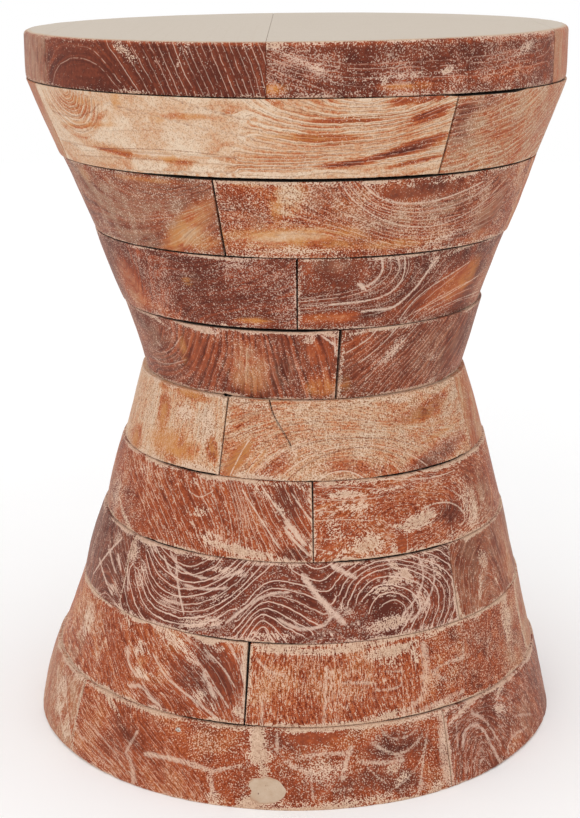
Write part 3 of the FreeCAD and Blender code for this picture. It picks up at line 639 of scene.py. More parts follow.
RING_LINES[7, 1] = (
    ((0, (-41, 152), (-35, 144), (-29, 142), (-23.5, 150)),
     (2, (-44.5, 149), (-38.5, 138), (-30, 132), (-21, 138), (-14.5, 153)),
     (4, (-44.5, 141), (-40.5, 128), (-33.5, 122), (-26.5, 125), (-18.5, 136), (-12.5, 151)),
     (6, (-45.5, 134), (-40.5, 118), (-33, 113), (-26, 115), (-18.5, 124), (-13, 137),
      (-8.5, 151)),
     (8, (-47, 127), (-41, 109), (-31, 104), (-21.5, 111), (-15.5, 125), (-10.5, 139),
      (-3.5, 151))),
    ((0, (-10.5, 102), (-8, 113), (-5.5, 102)), (2, (-13, 104), (-9, 120), (-5, 114), (1.5, 106)),
     (4, (-15, 107), (-9, 127), (-3.5, 124), (5, 113)),
     (6, (-14.5, 116), (-8.5, 133), (-2, 135), (6.5, 126)),
     (8, (-13, 125), (-8, 141), (-1, 144), (8.5, 133))),
    ((0, (22, 121), (25, 124), (28, 118), (26, 110)),
     (2, (17, 127), (22, 135), (30, 127), (33, 117), (28, 104)),
     (4, (13, 125), (17, 142), (27, 144), (35, 135), (39, 117), (34, 101)),
     (6.5, (9.5, 124), (13, 145), (25.5, 153), (41, 135), (43, 115), (38, 99))))
RING_LINES[8, 4] = (
    ((0, (-13, 103), (-11.5, 88), (-10.5, 59)), (2, (-17, 101), (-13, 87), (-11.5, 59)),
     (4, (-24, 101), (-17, 84), (-13.5, 69), (-12.5, 55)),
     (6, (-31.5, 100), (-23, 86), (-18, 72), (-14.5, 53)),
     (10, (-40.5, 101), (-32.5, 75), (-24.5, 64), (-18, 51)),
     (16, (-55.5, 96), (-46.5, 72), (-40.5, 57), (-33, 50)),
     (24, (-83.5, 70), (-64.5, 62), (-54, 51))),)
RING_LINES[9, 1] = (
    ((0, (-33.5, 48), (-22, 23), (-15.5, -3)), (10, (-54.5, 42), (-38, 21), (-27, -3)),
     (16, (-55, 17), (-44, 7), (-38.5, -1))),
    ((0, (19.5, 48), (20.5, 42), (23.5, 39), (26.5, 46)),
     (3, (16, 48), (18.5, 34), (22.5, 29), (27.5, 33), (30.5, 46)),
     (6, (13.5, 47), (15.5, 26), (21.5, 16), (27.5, 19), (32, 41)),
     (9, (11, 37), (14.5, 11), (22, 3), (29, 9), (33.5, 32))))
RING_LINES[9, 2] = (
    ((0, (40.5, 0), (42.5, 20), (44.5, 21), (45.5, 11), (46.5, -3)),
     (2, (37.5, -1), (39, 25), (42.5, 32), (46.5, 25), (49, 9), (51, -1)),
     (4, (34.5, -1), (36.5, 31), (42, 40), (49, 33), (53.5, 11), (57.5, -3)),
     (7, (35.5, 39), (46, 47), (57.5, 33), (65.5, 1))),)
# How round the flecks of wash are, from streaks along the rings to dots, by course
ROUND_FLECKS = {"top": .75, 1: .7, 2: .9, 3: 1.0, 4: .7, 5: .6, 6: .2, 7: .2, 8: .15, 9: .2}
# Half width of a stroke as a share of its width
STROKE_HALF = 0.52
# How far the ring number falls inside the first line of a family, and the step of its slope
CALM_INSIDE = 0.45
SLOPE_STEP = 0.5
# Middle of the range of stains for a block that the front does not show, by its wood
SLOT_STAINS = {
    "tan_wood": .8, "grey_tan_wood": .62, "red_brown_wood": .34,
    "orange_red_wood": .5, "maroon_wood": .16,
}


def smooth_step(low, high, value):
    """0 below low, 1 above high and a smooth rise between."""
    share = np.clip((value - low) / (high - low), 0, 1)
    return share * share * (3 - 2 * share)


def drift(points, size, seed, count=14):
    """Smooth random waves of about the given size, from -1 to 1, the same on every run."""
    random = np.random.default_rng(seed)
    dims = points.shape[-1]
    total = np.zeros(points.shape[:-1])
    for _ in range(count):
        direction = random.normal(size=dims)
        direction /= np.linalg.norm(direction)
        length = size * random.uniform(.75, 1.9)
        total += np.sin(points @ direction * (2 * math.pi / length) + random.uniform(0, 7))
    return np.clip(total / math.sqrt(count), -1.6, 1.6) / 1.6


def quadratic(three, share):
    """Value along a course from its top, middle and bottom, at shares of its height."""
    top, middle, bottom = three
    return (top * (1 - share) * (1 - 2 * share) + 4 * middle * share * (1 - share)
            + bottom * share * (2 * share - 1))


def course_span(course):
    """Lowest and highest z of a course, from its solids in the frame and the seam's rise."""
    low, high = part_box("course_%d_block_1" % course)
    rise_top = SEAM_RISES[course - 1]
    rise_low = SEAM_RISES[course] if course < COURSES else 0.0
    return low.z / MM + rise_low, high.z / MM + rise_top


def seam_opening(seam, azimuth, seed=5):
    """Opening of a seam at azimuths, read from OPENINGS at the front and wandering elsewhere."""
    around = (azimuth + 180) % 360 - 180
    points = OPENINGS[seam]
    seen = np.interp(around, [p[0] for p in points], [p[1] for p in points])
    angle = np.radians(around)
    ring = np.stack([np.cos(angle), np.sin(angle)], -1) * 10
    waves = drift(ring, 9, seed + seam)
    least, most = UNSEEN_OPENING
    unseen = least + (most - least) * np.clip(waves * 1.4, 0, 1) ** 2
    ends = smooth_step(58, 88, np.abs(around))
    return np.maximum(seen * (1 - ends) + unseen * ends, 0.15)


def seam_filled(seam, azimuth):
    """1 where filler closes a seam and 0 elsewhere, with soft ends."""
    around = (azimuth + 180) % 360 - 180
    total = np.zeros(np.shape(azimuth))
    for start, end in FILLED[seam]:
        inside = smooth_step(start - 1.5, start + 1.5, around)
        total = np.maximum(total, inside * (1 - smooth_step(end - 1.5, end + 1.5, around)))
    ring = np.stack([np.cos(np.radians(around)), np.sin(np.radians(around))], -1) * 10
    behind = smooth_step(.1, .25, drift(ring, 12, 60 + seam)) * smooth_step(62, 80, np.abs(around))
    return np.maximum(total, behind if seam > 3 else 0)


def joint_azimuth(course, joint, radius):
    """Azimuth round the table's axis of a joint that stands on the centre of its own course."""
    angle = np.radians(JOINTS[course - 1][joint - 1])
    across = SHIFTS[course - 1][1] + radius * np.sin(angle)
    return np.degrees(np.arctan2(across, radius * np.cos(angle)))


def face_distance(azimuth, radius, shift):
    """Distance from the axis to a circle whose centre lies sideways by shift."""
    angle = np.radians(azimuth)
    return shift * np.sin(angle) + np.sqrt(radius ** 2 - (shift * np.cos(angle)) ** 2)


def place(azimuth, distance, height):
    """Points in millimetres from azimuths, distances from the axis and heights."""
    angle = np.radians(azimuth)
    return np.stack([distance * np.sin(angle), -distance * np.cos(angle),
                     np.broadcast_to(height, np.shape(distance))], -1)


def graded(length, pitch, fine=()):
    """Positions along a length: close together at both ends and in the fine windows."""
    edge = np.array(EDGE_STEPS)
    count = max(3, int(round((length - 2 * edge[-1]) / pitch)) + 1)
    inner = np.linspace(edge[-1], length - edge[-1], count)
    steps = [edge[:-1], inner, length - edge[:-1]]
    for start, end in fine:
        steps.append(np.arange(start, end, CRACK_STEP))
    return np.unique(np.round(np.concatenate(steps), 3))


def rounding(distance, radius):
    """How far a rounded arris falls back at a distance from the edge."""
    left = np.clip(radius - distance, 0, None)
    return radius - np.sqrt(np.clip(radius ** 2 - left ** 2, 0, None))


def patch_amount(azimuth, height, girth, patches):
    """Sum of the amounts of patches at places on a face that is girth millimetres per degree."""
    total = np.zeros(np.broadcast(azimuth, height).shape)
    for centre, level, wide, tall, *lean, amount in patches:
        across = (azimuth - centre) * girth
        up = height - level
        turn = math.radians(lean[0]) if lean else 0.0
        along = across * math.cos(turn) + up * math.sin(turn)
        over = up * math.cos(turn) - across * math.sin(turn)
        reach = np.sqrt((along / wide) ** 2 + (over / tall) ** 2)
        total += amount * (1 - smooth_step(.35, 1.35, reach))
    return total


def rounded_line(points, times=2):
    """The line of points with its corners cut, so that it bends smoothly."""
    for _ in range(times):
        cut = [points[0]]
        for (a0, z0), (a1, z1) in zip(points, points[1:]):
            cut += [(.75 * a0 + .25 * a1, .75 * z0 + .25 * z1),
                    (.25 * a0 + .75 * a1, .25 * z0 + .75 * z1)]
        points = cut + [points[-1]]
    return points


def signed_distance(azimuth, height, girth, points):
    """Distance to a line of points on the face, above zero on its left and below on its right."""
    shape = np.broadcast(azimuth, height).shape
    nearest = np.full(shape, 1e6)
    side = np.ones(shape)
    for (a0, z0), (a1, z1) in zip(points, points[1:]):
        dx, dz = (a1 - a0) * girth, z1 - z0
        across, up = (azimuth - a0) * girth, height - z0
        share = np.clip((across * dx + up * dz) / (dx * dx + dz * dz), 0, 1)
        distance = np.hypot(across - share * dx, up - share * dz)
        closer = distance < nearest
        side = np.where(closer, np.sign(dx * up - dz * across), side)
        nearest = np.where(closer, distance, nearest)
    return nearest * side


def side_distance(azimuth, height, girth, points, over):
    """Distance to a line of points, above zero on the side where the point called over lies."""
    there = signed_distance(np.array([over[0]]), np.array([over[1]]), girth, points)
    return signed_distance(azimuth, height, girth, points) * np.sign(there)[0]


def stroke_marks(azimuth, height, girth, strokes, darks):
    """The nearest stroke at each place: signed distance in half widths, gap to its edge, amount.

    The material draws the stroke where the signed distance is small, which stays sharp between
    the mesh points. The gap tells a stroke from the places where two strokes trade sides. Dark
    lines have amounts below zero.
    """
    shape = np.broadcast(azimuth, height).shape
    best = np.full(shape, 50.0)
    marks = np.stack([best, best, 0 * best], -1)
    rows = [(row, 1) for row in strokes] + [(row, -1) for row in darks]
    for (width, amount, *points), sign in rows:
        half = width * STROKE_HALF
        distance = signed_distance(azimuth, height, girth, rounded_line(points))
        reach = np.abs(distance) / half
        closer = reach < best
        best = np.where(closer, reach, best)
        found = np.stack([distance / half, np.maximum(np.abs(distance) - half, 0),
                          np.full(shape, amount * sign)], -1)
        marks = np.where(closer[..., None], found, marks)
    return np.clip(marks, -50, 50)


def family_distance(azimuth, height, girth, family):
    """Ring number at places among the lines of a family, each given by its number and points.

    Inside the first line the number soon stays the same, so that no further ring is drawn there.
    """
    azimuth, height = np.broadcast_arrays(azimuth, height)
    numbers = [line[0] for line in family]
    lines = [rounded_line(line[1:]) for line in family]
    middles = [line[len(line) // 2] for line in lines]
    overs = middles[1:] + [middles[-2]]
    away = [side_distance(azimuth, height, girth, line, over) for line, over in zip(lines, overs)]
    away[-1] = -away[-1]
    value = np.full(azimuth.shape, float(numbers[0]))
    nearest = np.full(azimuth.shape, 1e6)
    for i in range(len(lines) - 1):
        inside = (away[i] >= 0) & (away[i + 1] <= 0)
        reach = np.abs(away[i]) + np.abs(away[i + 1])
        share = np.abs(away[i]) / np.maximum(reach, 1e-6)
        chosen = inside & (reach < nearest)
        value = np.where(chosen, numbers[i] + (numbers[i + 1] - numbers[i]) * share, value)
        nearest = np.where(chosen, reach, nearest)

    def gap(one, other):
        return abs((one[0] - other[0]) * girth) + abs(one[1] - other[1])

    first_gap = gap(middles[1], middles[0])
    last_gap = gap(middles[-1], middles[-2])
    rate = (numbers[1] - numbers[0]) / first_gap
    before = numbers[0] - np.minimum(np.abs(away[0]) * rate, CALM_INSIDE)
    beyond = numbers[-1] + np.abs(away[-1]) * (numbers[-1] - numbers[-2]) / last_gap
    lost = nearest > 1e5
    closer_first = np.abs(away[0]) < np.abs(away[-1])
    return np.where(lost, np.where(closer_first, before, beyond), value)


def ring_distance(azimuth, height, girth, eyes, spacing, blend):
    """Distance from the nearest eye or family, blended where two meet, so that rings flow."""
    total = 0.0
    for eye in eyes:
        if isinstance(eye[0], tuple):
            distance = spacing * family_distance(azimuth, height, girth, eye)
        else:
            centre, level, wide, tall = eye
            across = (azimuth - centre) * girth / wide
            up = (height - level) / tall
            distance = np.sqrt(across ** 2 + up ** 2 + 4)
        total = total + np.exp(-distance / blend)
    return -blend * np.log(total + 1e-30)


def unseen_look(course, block, slot_name, first, last, low, high):
    """A look for a block that the front does not show, drawn from its own seed."""
    random = np.random.default_rng(1000 + course * 10 + block)
    pick = random.uniform
    kind = random.integers(0, 4)
    middle = (first + last) / 2
    height = (low + high) / 2
    if kind == 0:
        eyes = ((middle + pick(-18, 18), high + pick(6, 26), pick(1.4, 2.4), 1.0),)
    elif kind == 1:
        eyes = ((middle + pick(-16, 16), low - pick(2, 16), pick(1.2, 1.9), 1.0),)
    elif kind == 2:
        side = random.choice((-1, 1))
        eyes = ((middle + side * pick(60, 90), height + pick(-30, 30), 1.0, pick(1.2, 3.0)),)
    else:
        eyes = ((first + 14, high + 12, 1.4, 1.0), (last - 16, low - 10, 1.3, 1.0),
                (middle, high + 24, 1.4, 1.0))
    stain = SLOT_STAINS[slot_name] + pick(-.07, .07)
    skirt = course > 5
    heavy = .75 if skirt else .3
    patches, strokes, tints = [], [], []
    for _ in range(int(random.integers(5, 9)) if skirt else 2):
        patches.append((pick(first + 4, last - 4), pick(low + 3, high - 3), pick(5, 16),
                        pick(2.5, 8), pick(-40, 40), pick(.45, .6 + heavy * .5)))
    for _ in range(int(random.integers(3, 7)) if skirt else 0):
        azimuth = pick(first + 6, last - 6)
        level = pick(low + 8, high - 8)
        lean = pick(-5, 5)
        strokes.append((pick(.7, 1.8), pick(.5, .9),
                        (azimuth - lean, level + pick(6, 16)), (azimuth, level),
                        (azimuth + lean * 1.4, level - pick(6, 16))))
    for _ in range(4):
        tints.append((pick(first, last), pick(low, high), pick(10, 34), pick(5, 16),
                      pick(-20, 20), pick(-.22, .22)))
    return Look(stain, eyes, pick(3.2, 5.6), pick(.1, .6), pick(.25, .55), pick(.65, 1.0),
                pick(.1, .4), tints=tints, washes=patches, strokes=strokes)


def wood_marks(key, look, azimuth, height, girth, edge, seed, worn_amount):
    """The marks that the wood material reads at each point, as a dict of arrays."""
    shape = np.broadcast(azimuth, height).shape
    flat = np.stack([azimuth * girth, np.broadcast_to(height, shape)], -1)
    stain = look.stain + patch_amount(azimuth, height, girth, look.tints)
    stain = stain + .05 * drift(flat, 60, seed + 1)
    wash = patch_amount(azimuth, height, girth, look.washes)
    reach = WORN_REACH[0] + WORN_REACH[1] * drift(flat, 16, seed + 2)
    worn = worn_amount * (1 - smooth_step(.3, reach, edge))
    wash = wash + worn * (WORN_WASH[0] + WORN_WASH[1] * drift(flat, 34, seed + 3))
    calm = np.clip(1 - patch_amount(azimuth, height, girth, look.smooth), .05, 1)
    grey = look.grey + patch_amount(azimuth, height, girth, look.greys)
    gold = patch_amount(azimuth, height, girth, look.golds)
    laid = RING_LINES.get(key)
    wander, blend = (LAID_WANDER, LAID_BLEND) if laid else (EYES_WANDER, EYES_BLEND)

    def field(azimuth, height):
        return ring_distance(azimuth, height, girth, laid or look.rings, look.spacing, blend)

    rings = field(azimuth, height)
    slope = np.hypot(field(azimuth + SLOPE_STEP / girth, height) - rings,
                     field(azimuth, height + SLOPE_STEP) - rings) / SLOPE_STEP
    rings = rings + wander * drift(flat, 42, seed + 4)
    full = np.ones(shape)
    return {
        "rings": np.stack([rings, full * look.spacing, full * (seed % 97)], -1),
        "finish": np.stack([stain, wash, edge], -1),
        "stroke": stroke_marks(azimuth, height, girth, look.strokes, look.darks),
        "figure": np.stack([full * look.lines, full * look.bands, look.speckle * calm], -1),
        "round_flecks": full * ROUND_FLECKS[key[0]],
        # The first number of film is the grey film, and toward the sides a painted sheen of
        # glancing light
        "film": np.stack([np.clip(grey, 0, 1), np.clip(gold, 0, 1), np.clip(slope, .2, 3)], -1),
    }


def mesh_object(name, points, faces, marks, material):
    """A shown mesh in metres with its marks, ready to ride on the frame."""
    mesh = bpy.data.meshes.new(name)
    mesh.from_pydata((points * MM).tolist(), [], faces)
    for key, values in marks.items():
        kind = "FLOAT" if values.ndim == 1 else "FLOAT_VECTOR"
        layer = mesh.attributes.new(key, kind, "POINT")
        layer.data.foreach_set("value" if values.ndim == 1 else "vector",
                               np.ascontiguousarray(values, dtype=np.float32).ravel())
    mesh.validate()
    mesh.materials.append(material)
    mesh.shade_smooth()
    piece = bpy.data.objects.new(name, mesh)
    bpy.context.scene.collection.objects.link(piece)
    return piece


def grid_object(name, points, marks, material, way):
    """A shown mesh from columns of closed loops of points, closed at both ends.

    way is 1 where the loops turn one way and -1 where they turn the other way, so that the
    faces look outwards.
    """
    columns, loop = points.shape[:2]
    base = np.arange(columns - 1)[:, None] * loop
    here = base + np.arange(loop)[None, :]
    after = base + np.roll(np.arange(loop), -1)[None, :]
    beside = (after, after + loop, here + loop)[::way]
    faces = np.stack([here, *beside], -1).reshape(-1, 4).tolist()
    faces.append(list(range(loop))[::-way])
    faces.append(list(range((columns - 1) * loop, columns * loop))[::way])
    marks = {key: value.reshape(-1, *value.shape[2:]) for key, value in marks.items()}
    return mesh_object(name, points.reshape(-1, 3), faces, marks, material)


def course_block(course, block, settings):
    """One turned block of a course, as a closed shell with eased and chipped arrises."""
    radii, shifts = RADII[course - 1], SHIFTS[course - 1]
    following = block % len(JOINTS[course - 1]) + 1
    first = joint_azimuth(course, block, radii[1])
    last = joint_azimuth(course, following, radii[1])
    if last < first:
        last += 360
    turns = 360 if (first + last) / 2 > 180 else 0
    first, last = first - turns, last - turns
    low, high = course_span(course)
    tall = high - low
    girth = math.radians(1) * radii[1]
    seed = course * 100 + block * 7
    length = (last - first) * girth
    middle = (first + last) / 2
    seen = abs(middle) < FRONT_REACH
    pitch = settings.mesh_pitch / MM * (1.0 if seen else BACK_PITCH)
    cracks = [crack for crack in CRACKS if crack[:2] == (course, block)]
    windows = []
    for crack in cracks:
        azimuths = [p[0] for p in crack[3:]]
        windows.append(((min(azimuths) - first) * girth - CRACK_MARGIN,
                        (max(azimuths) - first) * girth + CRACK_MARGIN))
    along = graded(length, pitch, windows)
    down = graded(tall, pitch)
    share_across = along / length
    share_down = down / tall

    def half_opening(joint):
        opening = OPEN_JOINTS.get((course, joint))
        if opening is None:
            return np.full(len(down), TIGHT_JOINT / 2)
        return (opening[0] + (opening[1] - opening[0]) * share_down) / 2

    row_radii = quadratic(radii, share_down)
    lean_start = joint_azimuth(course, block, row_radii)
    lean_end = joint_azimuth(course, following, row_radii)
    start = first + lean_start - lean_start[len(down) // 2] + half_opening(block) / girth
    end = last + lean_end - lean_end[len(down) // 2] - half_opening(following) / girth
    azimuth = start[None, :] + share_across[:, None] * (end - start)[None, :]
    edge_azimuth = azimuth[:, 0]
    fill_top = seam_filled(course - 1, edge_azimuth)
    fill_low = seam_filled(course, edge_azimuth) if course < COURSES else 0 * edge_azimuth
    seam_top = seam_opening(course - 1, edge_azimuth) * (1.0 if course == 1 else SEAM_BELOW)
    seam_top = np.maximum(seam_top * (1 - fill_top), LEAST_SEAM)
    seam_low = 0 * edge_azimuth
    if course < COURSES:
        seam_low = seam_opening(course, edge_azimuth) * SEAM_ABOVE
    seam_low = np.maximum(seam_low * (1 - fill_low), LEAST_SEAM if course < COURSES else 0)
    height = (high - seam_top)[:, None] - share_down[None, :] * (
        (high - seam_top) - (low + seam_low))[:, None]

    # Arrises are eased by a wandering amount, with a few chips along them
    strip = np.stack([edge_azimuth * girth, np.zeros(len(edge_azimuth))], -1)

    def eased(line, size, number):
        wander = EASE_WANDER * drift(line, size, seed + number)
        return settings.arris / MM * (1 + wander)

    def chipped(depth, size, number):
        return depth * np.clip(drift(strip, size, seed + number) - .4, 0, 1)

    top_ease = eased(strip, 22, 11) + chipped(TOP_CHIPS, 9, 12)
    low_ease = eased(strip, 24, 13) + chipped(LOW_CHIPS, 8, 14)
    top_ease = np.clip(top_ease * (1 - FILL_EASES * fill_top), LEAST_EASE, MOST_EASE)
    low_ease = np.clip(low_ease * (1 - FILL_EASES * fill_low), LEAST_EASE, MOST_EASE)
    if course == COURSES:
        off_worn = (np.abs(edge_azimuth) - FOOT_WEAR_AT) / FOOT_WEAR_SPAN
        low_ease = low_ease + FOOT_WEAR * np.exp(-off_worn ** 2)
    upright = np.stack([np.zeros(len(down)), down], -1)
    start_ease = eased(upright, 18, 15)
    end_ease = eased(upright, 18, 16)
    from_top, from_low = down[None, :], (tall - down)[None, :]
    from_start, from_end = along[:, None], (length - along)[:, None]
    fall = (rounding(from_top, top_ease[:, None]) + rounding(from_low, low_ease[:, None])
            + rounding(from_start, start_ease[None, :]) + rounding(from_end, end_ease[None, :]))
    radius = quadratic(radii, share_down)[None, :]
    shift = quadratic(shifts, share_down)[None, :]
    surface = face_distance(azimuth, radius, shift)
    flat = np.stack([azimuth * girth, height], -1)
    for number, (size, share) in enumerate(TOOL_WAVES, 17):
        surface = surface + share * settings.tool_wave / MM * drift(flat, size, seed + number)
    edge = np.minimum(np.minimum(from_top, from_low), np.minimum(from_start, from_end))
    edge = np.broadcast_to(edge, surface.shape).copy()
    # A crack is sunk into the face, and its edge mark is set below zero so that the material
    # paints dark painted shade with dirt in it
    for _, _, width, *points in cracks:
        distance = np.abs(signed_distance(azimuth, height, girth, points))
        depth = 1 - smooth_step(width * .15, width * .75, distance)
        fall = fall + CRACK_DEPTH * depth
        edge = np.where(depth > .25, -2.5, np.maximum(edge, 3.0))
    surface = surface - fall

    # Loop of each column: outer face from top to bottom, underside, inner face, upper side
    inner = INNER_FACE / np.cos(np.radians(np.clip(edge_azimuth - middle, -60, 60)))

    def level_side(row, own, solid, ledge, filled, direction):
        rings, marks = [], []
        # Deeper in an open seam than its ledge, and on the inner face, the edge mark falls below
        # zero, so the material paints dark painted shade with dirt there
        for depth in SEAM_DEPTHS:
            distance = surface[:, row] - depth
            closed = smooth_step(SLOT_DEPTH, SLOT_DEPTH + SLOT_SLOPE, depth + 0 * distance)
            z = own + (solid - own) * closed
            rings.append((azimuth[:, row], distance, z))
            marks.append(np.where(filled > .5, np.maximum(ledge - depth, -.1), ledge - depth))
        rings.append((azimuth[:, row], inner, np.full(len(inner), solid)))
        marks.append(np.full(len(inner), -20.0))
        return rings[::direction], marks[::direction]

    # The ledge where a course stands out under the one above it is finished like its face
    glue = GLUE_LINE / 2
    above = RADII[course - 2][2] if course > 1 else TOP_RADIUS
    ledge = max(0.0, radii[0] - above) + .2
    under, under_edge = level_side(-1, height[:, -1], low + (glue if course < COURSES else 0),
                                   0.0, fill_low, 1)
    over, over_edge = level_side(0, height[:, 0], high - glue, ledge, fill_top, -1)

    def whole_loop(outer, part):
        return np.concatenate([outer] + [ring[part][:, None] for ring in under + over], 1)

    ring_azimuth = whole_loop(azimuth, 0)
    ring_height = whole_loop(height, 2)
    ring_edge = np.concatenate([edge] + [e[:, None] for e in under_edge + over_edge], 1)
    points = place(ring_azimuth, whole_loop(surface, 1), ring_height)
    slot_name = SLOTS["course_%d_block_%d" % (course, block)]
    look = LOOKS.get((course, block)) or unseen_look(
        course, block, slot_name, first, last, low, high)
    marks = wood_marks((course, block), look, ring_azimuth, ring_height, girth, ring_edge, seed,
                       WORN[course - 1])
    piece = grid_object("turned_course_%d_block_%d" % (course, block), points, marks,
                        wood_material(slot_name, settings), 1)
    piece.data.polygons[-1].use_smooth = False
    piece.data.polygons[-2].use_smooth = False
    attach(piece, "root")
    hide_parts("course_%d_block_%d" % (course, block))
    return piece


def top_board(number, left, right, node, settings):
    """One board of the top: upright glued sides, a turned rim at both ends, two flat faces."""
    low_box, high_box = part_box("top_right_board")
    foot, crown = low_box.z / MM, high_box.z / MM
    tall = crown - foot
    seed = 900 + number
    pitch = settings.mesh_pitch / MM
    girth = math.radians(1) * TOP_RADIUS
    crown_steps = np.array(EDGE_STEPS[:-1])
    rises = np.concatenate([RIM_HEIGHTS, np.arange(8, tall - 4, pitch), tall - crown_steps[::-1]])
    foot_insets = np.where(rises > RIM_HEIGHTS[-1], 0, np.interp(rises, RIM_HEIGHTS, RIM_INSETS))
    start = math.degrees(math.asin(max(-1.0, left / TOP_RADIUS)))
    end = math.degrees(math.asin(min(1.0, right / TOP_RADIUS)))
    azimuth = start + graded((end - start) * girth, pitch) / girth
    across = TOP_RADIUS * np.sin(np.radians(azimuth))
    strip = np.stack([azimuth * girth, 0 * azimuth], -1)
    chipped = .7 * np.clip(drift(strip, 10, seed + 3) - .35, 0, 1)
    outer_cut = left if right >= TOP_RADIUS else right if left <= -TOP_RADIUS else None

    least, most = RIM_ROUND
    ease = least + (most - least) * smooth_step(20, 62, np.abs(azimuth)) + .5 * drift(
        strip, 30, seed + 4)

    def rim_row(rise, inset, back):
        near_arris = rise < 1 or tall - rise < 1
        inset = inset + rounding(tall - rise, ease)
        reach = TOP_RADIUS - inset - (chipped if near_arris else 0)
        if outer_cut is None:
            x = across
        else:
            x = outer_cut + (across - outer_cut) * (
                (reach - abs(outer_cut)) / (TOP_RADIUS - abs(outer_cut)))
        half = np.sqrt(np.clip(reach ** 2 - x ** 2, 0, None))
        edge = min(rise, tall - rise)
        return (x, half if back else -half, foot + rise, 180 - azimuth if back else azimuth,
                edge, 0.0)

    rows = [rim_row(rise, inset, False) for rise, inset in zip(rises, foot_insets)]
    x, front, _, _, _, _ = rows[-1]
    half = -front
    depths = np.concatenate([TOP_FACE_EDGE, np.linspace(12, TOP_RADIUS, TOP_FACE_STEPS)])
    shares = np.arange(1, len(depths) + 1) / (len(depths) + 1)
    inward = [np.minimum(depth, half * share) for depth, share in zip(depths, shares)]
    upper = [(x, depth - half, crown, azimuth, depth, 1.0) for depth in inward]
    upper += [(x, half - depth, crown, 180 - azimuth, depth, 1.0) for depth in inward[::-1]]
    rows += upper
    rows += [rim_row(rise, inset, True) for rise, inset in zip(rises[::-1], foot_insets[::-1])]
    x, back = rows[-1][0], rows[-1][1]
    # The underside's edge mark is below zero, so the material paints it with dark painted shade
    # and dirt, as in the seams
    for share in (.02, .1, .5, .9, .98):
        rows.append((x, back * (1 - 2 * share), foot, 180 - azimuth if share < .5 else azimuth,
                     -8.0, 0.0))
    data = np.stack([np.stack([np.broadcast_to(value, across.shape) for value in row], -1)
                     for row in rows], 1).astype(float)
    data[..., 2] += TOP_LEAN * data[..., 0] * (data[..., 2] - foot) / tall
    height, ring_azimuth = data[..., 2], data[..., 3]
    edge, upper_face = data[..., 4], data[..., 5]
    marks = wood_marks(("top", number), LOOKS[("top", number)], ring_azimuth, height, girth, edge,
                       seed, .5)
    # The grain of the upper face runs from front to back, along the boards
    marks["rings"][..., 0] = np.where(upper_face > .5, data[..., 0] * .5, marks["rings"][..., 0])
    band = (1 - smooth_step(RIM_BAND * .5, RIM_BAND, crown - height)) * (upper_face < .5)
    stain = marks["finish"][..., 0]
    marks["finish"][..., 0] = stain + (np.maximum(stain, .5) - stain) * band * .6
    marks["upper_face"] = np.maximum(upper_face, 1 - smooth_step(.1, .7, foot + tall - (
        data[..., 2] - TOP_LEAN * data[..., 0])))
    piece = grid_object("turned_" + node, data[..., :3], marks,
                        wood_material("top_wood", settings), -1)
    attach(piece, "root")
    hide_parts(node)
    return piece


def turned_radius(course, azimuth, height):
    """Distance from the axis to the turned face of a course, without its tool marks."""
    low, high = course_span(course)
    share = (high - height) / (high - low)
    return face_distance(azimuth, quadratic(RADII[course - 1], share),
                         quadratic(SHIFTS[course - 1], share))


def ringed_faces(count, rings, start, front, deep):
    """Faces over rings of count points, from point start on, closed by a point at each end."""
    around = [(start + i, start + (i + 1) % count) for i in range(count)]
    back = (rings - 1) * count
    faces = [[a + ring * count, a + (ring + 1) * count, b + (ring + 1) * count, b + ring * count]
             for ring in range(rings - 1) for a, b in around]
    for a, b in around:
        faces += [[front, a, b], [deep, back + b, back + a]]
    return faces


def oval_fill(settings):
    """The oval of pale filler in the foot course, smeared a little over its edge."""
    low_box, high_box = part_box("knot_plug")
    centre = (low_box + high_box) / 2 / MM
    azimuth0 = math.degrees(math.atan2(centre.x, -centre.y))
    wide = (high_box.x - low_box.x) / MM / 2 / math.cos(math.radians(azimuth0))
    tall = (high_box.z - low_box.z) / MM / 2
    girth = math.radians(1) * RADII[-1][2]
    turns = np.linspace(0, 2 * math.pi, OVAL_POINTS + 1)[:-1]
    wobble = 1 + .05 * drift(np.stack([np.cos(turns), np.sin(turns)], -1) * 20, 14, 77)
    proud_most = settings.fill_proud / MM
    rings = [(share, proud_most * (1 - share ** 4)) for share in OVAL_SHARES] + list(OVAL_EDGE)
    points, edges = [], []
    for share, proud in rings:
        azimuth = azimuth0 + share * wide * wobble * np.cos(turns) / girth
        height = centre.z + share * tall * wobble * np.sin(turns)
        points.append(place(azimuth, turned_radius(COURSES, azimuth, height) + proud, height))
        edges.append(np.full(len(turns), (1 - share) * tall if proud > -.2 else -2.0))
    flat = np.concatenate(points)
    middle = turned_radius(COURSES, azimuth0, centre.z)
    front = place(np.array([azimuth0]), np.array([middle + proud_most]), centre.z)
    deep = place(np.array([azimuth0]), np.array([middle - OVAL_DEPTH]), centre.z)
    flat = np.concatenate([flat, front, deep])
    faces = ringed_faces(OVAL_POINTS, len(rings), 0, len(flat) - 2, len(flat) - 1)
    marks = {"edge": np.concatenate(edges + [np.array([tall, -2.0])])}
    piece = mesh_object("oval_filler", flat, faces, marks, filler_material(settings))
    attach(piece, "root")
    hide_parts("knot_plug")
    return piece


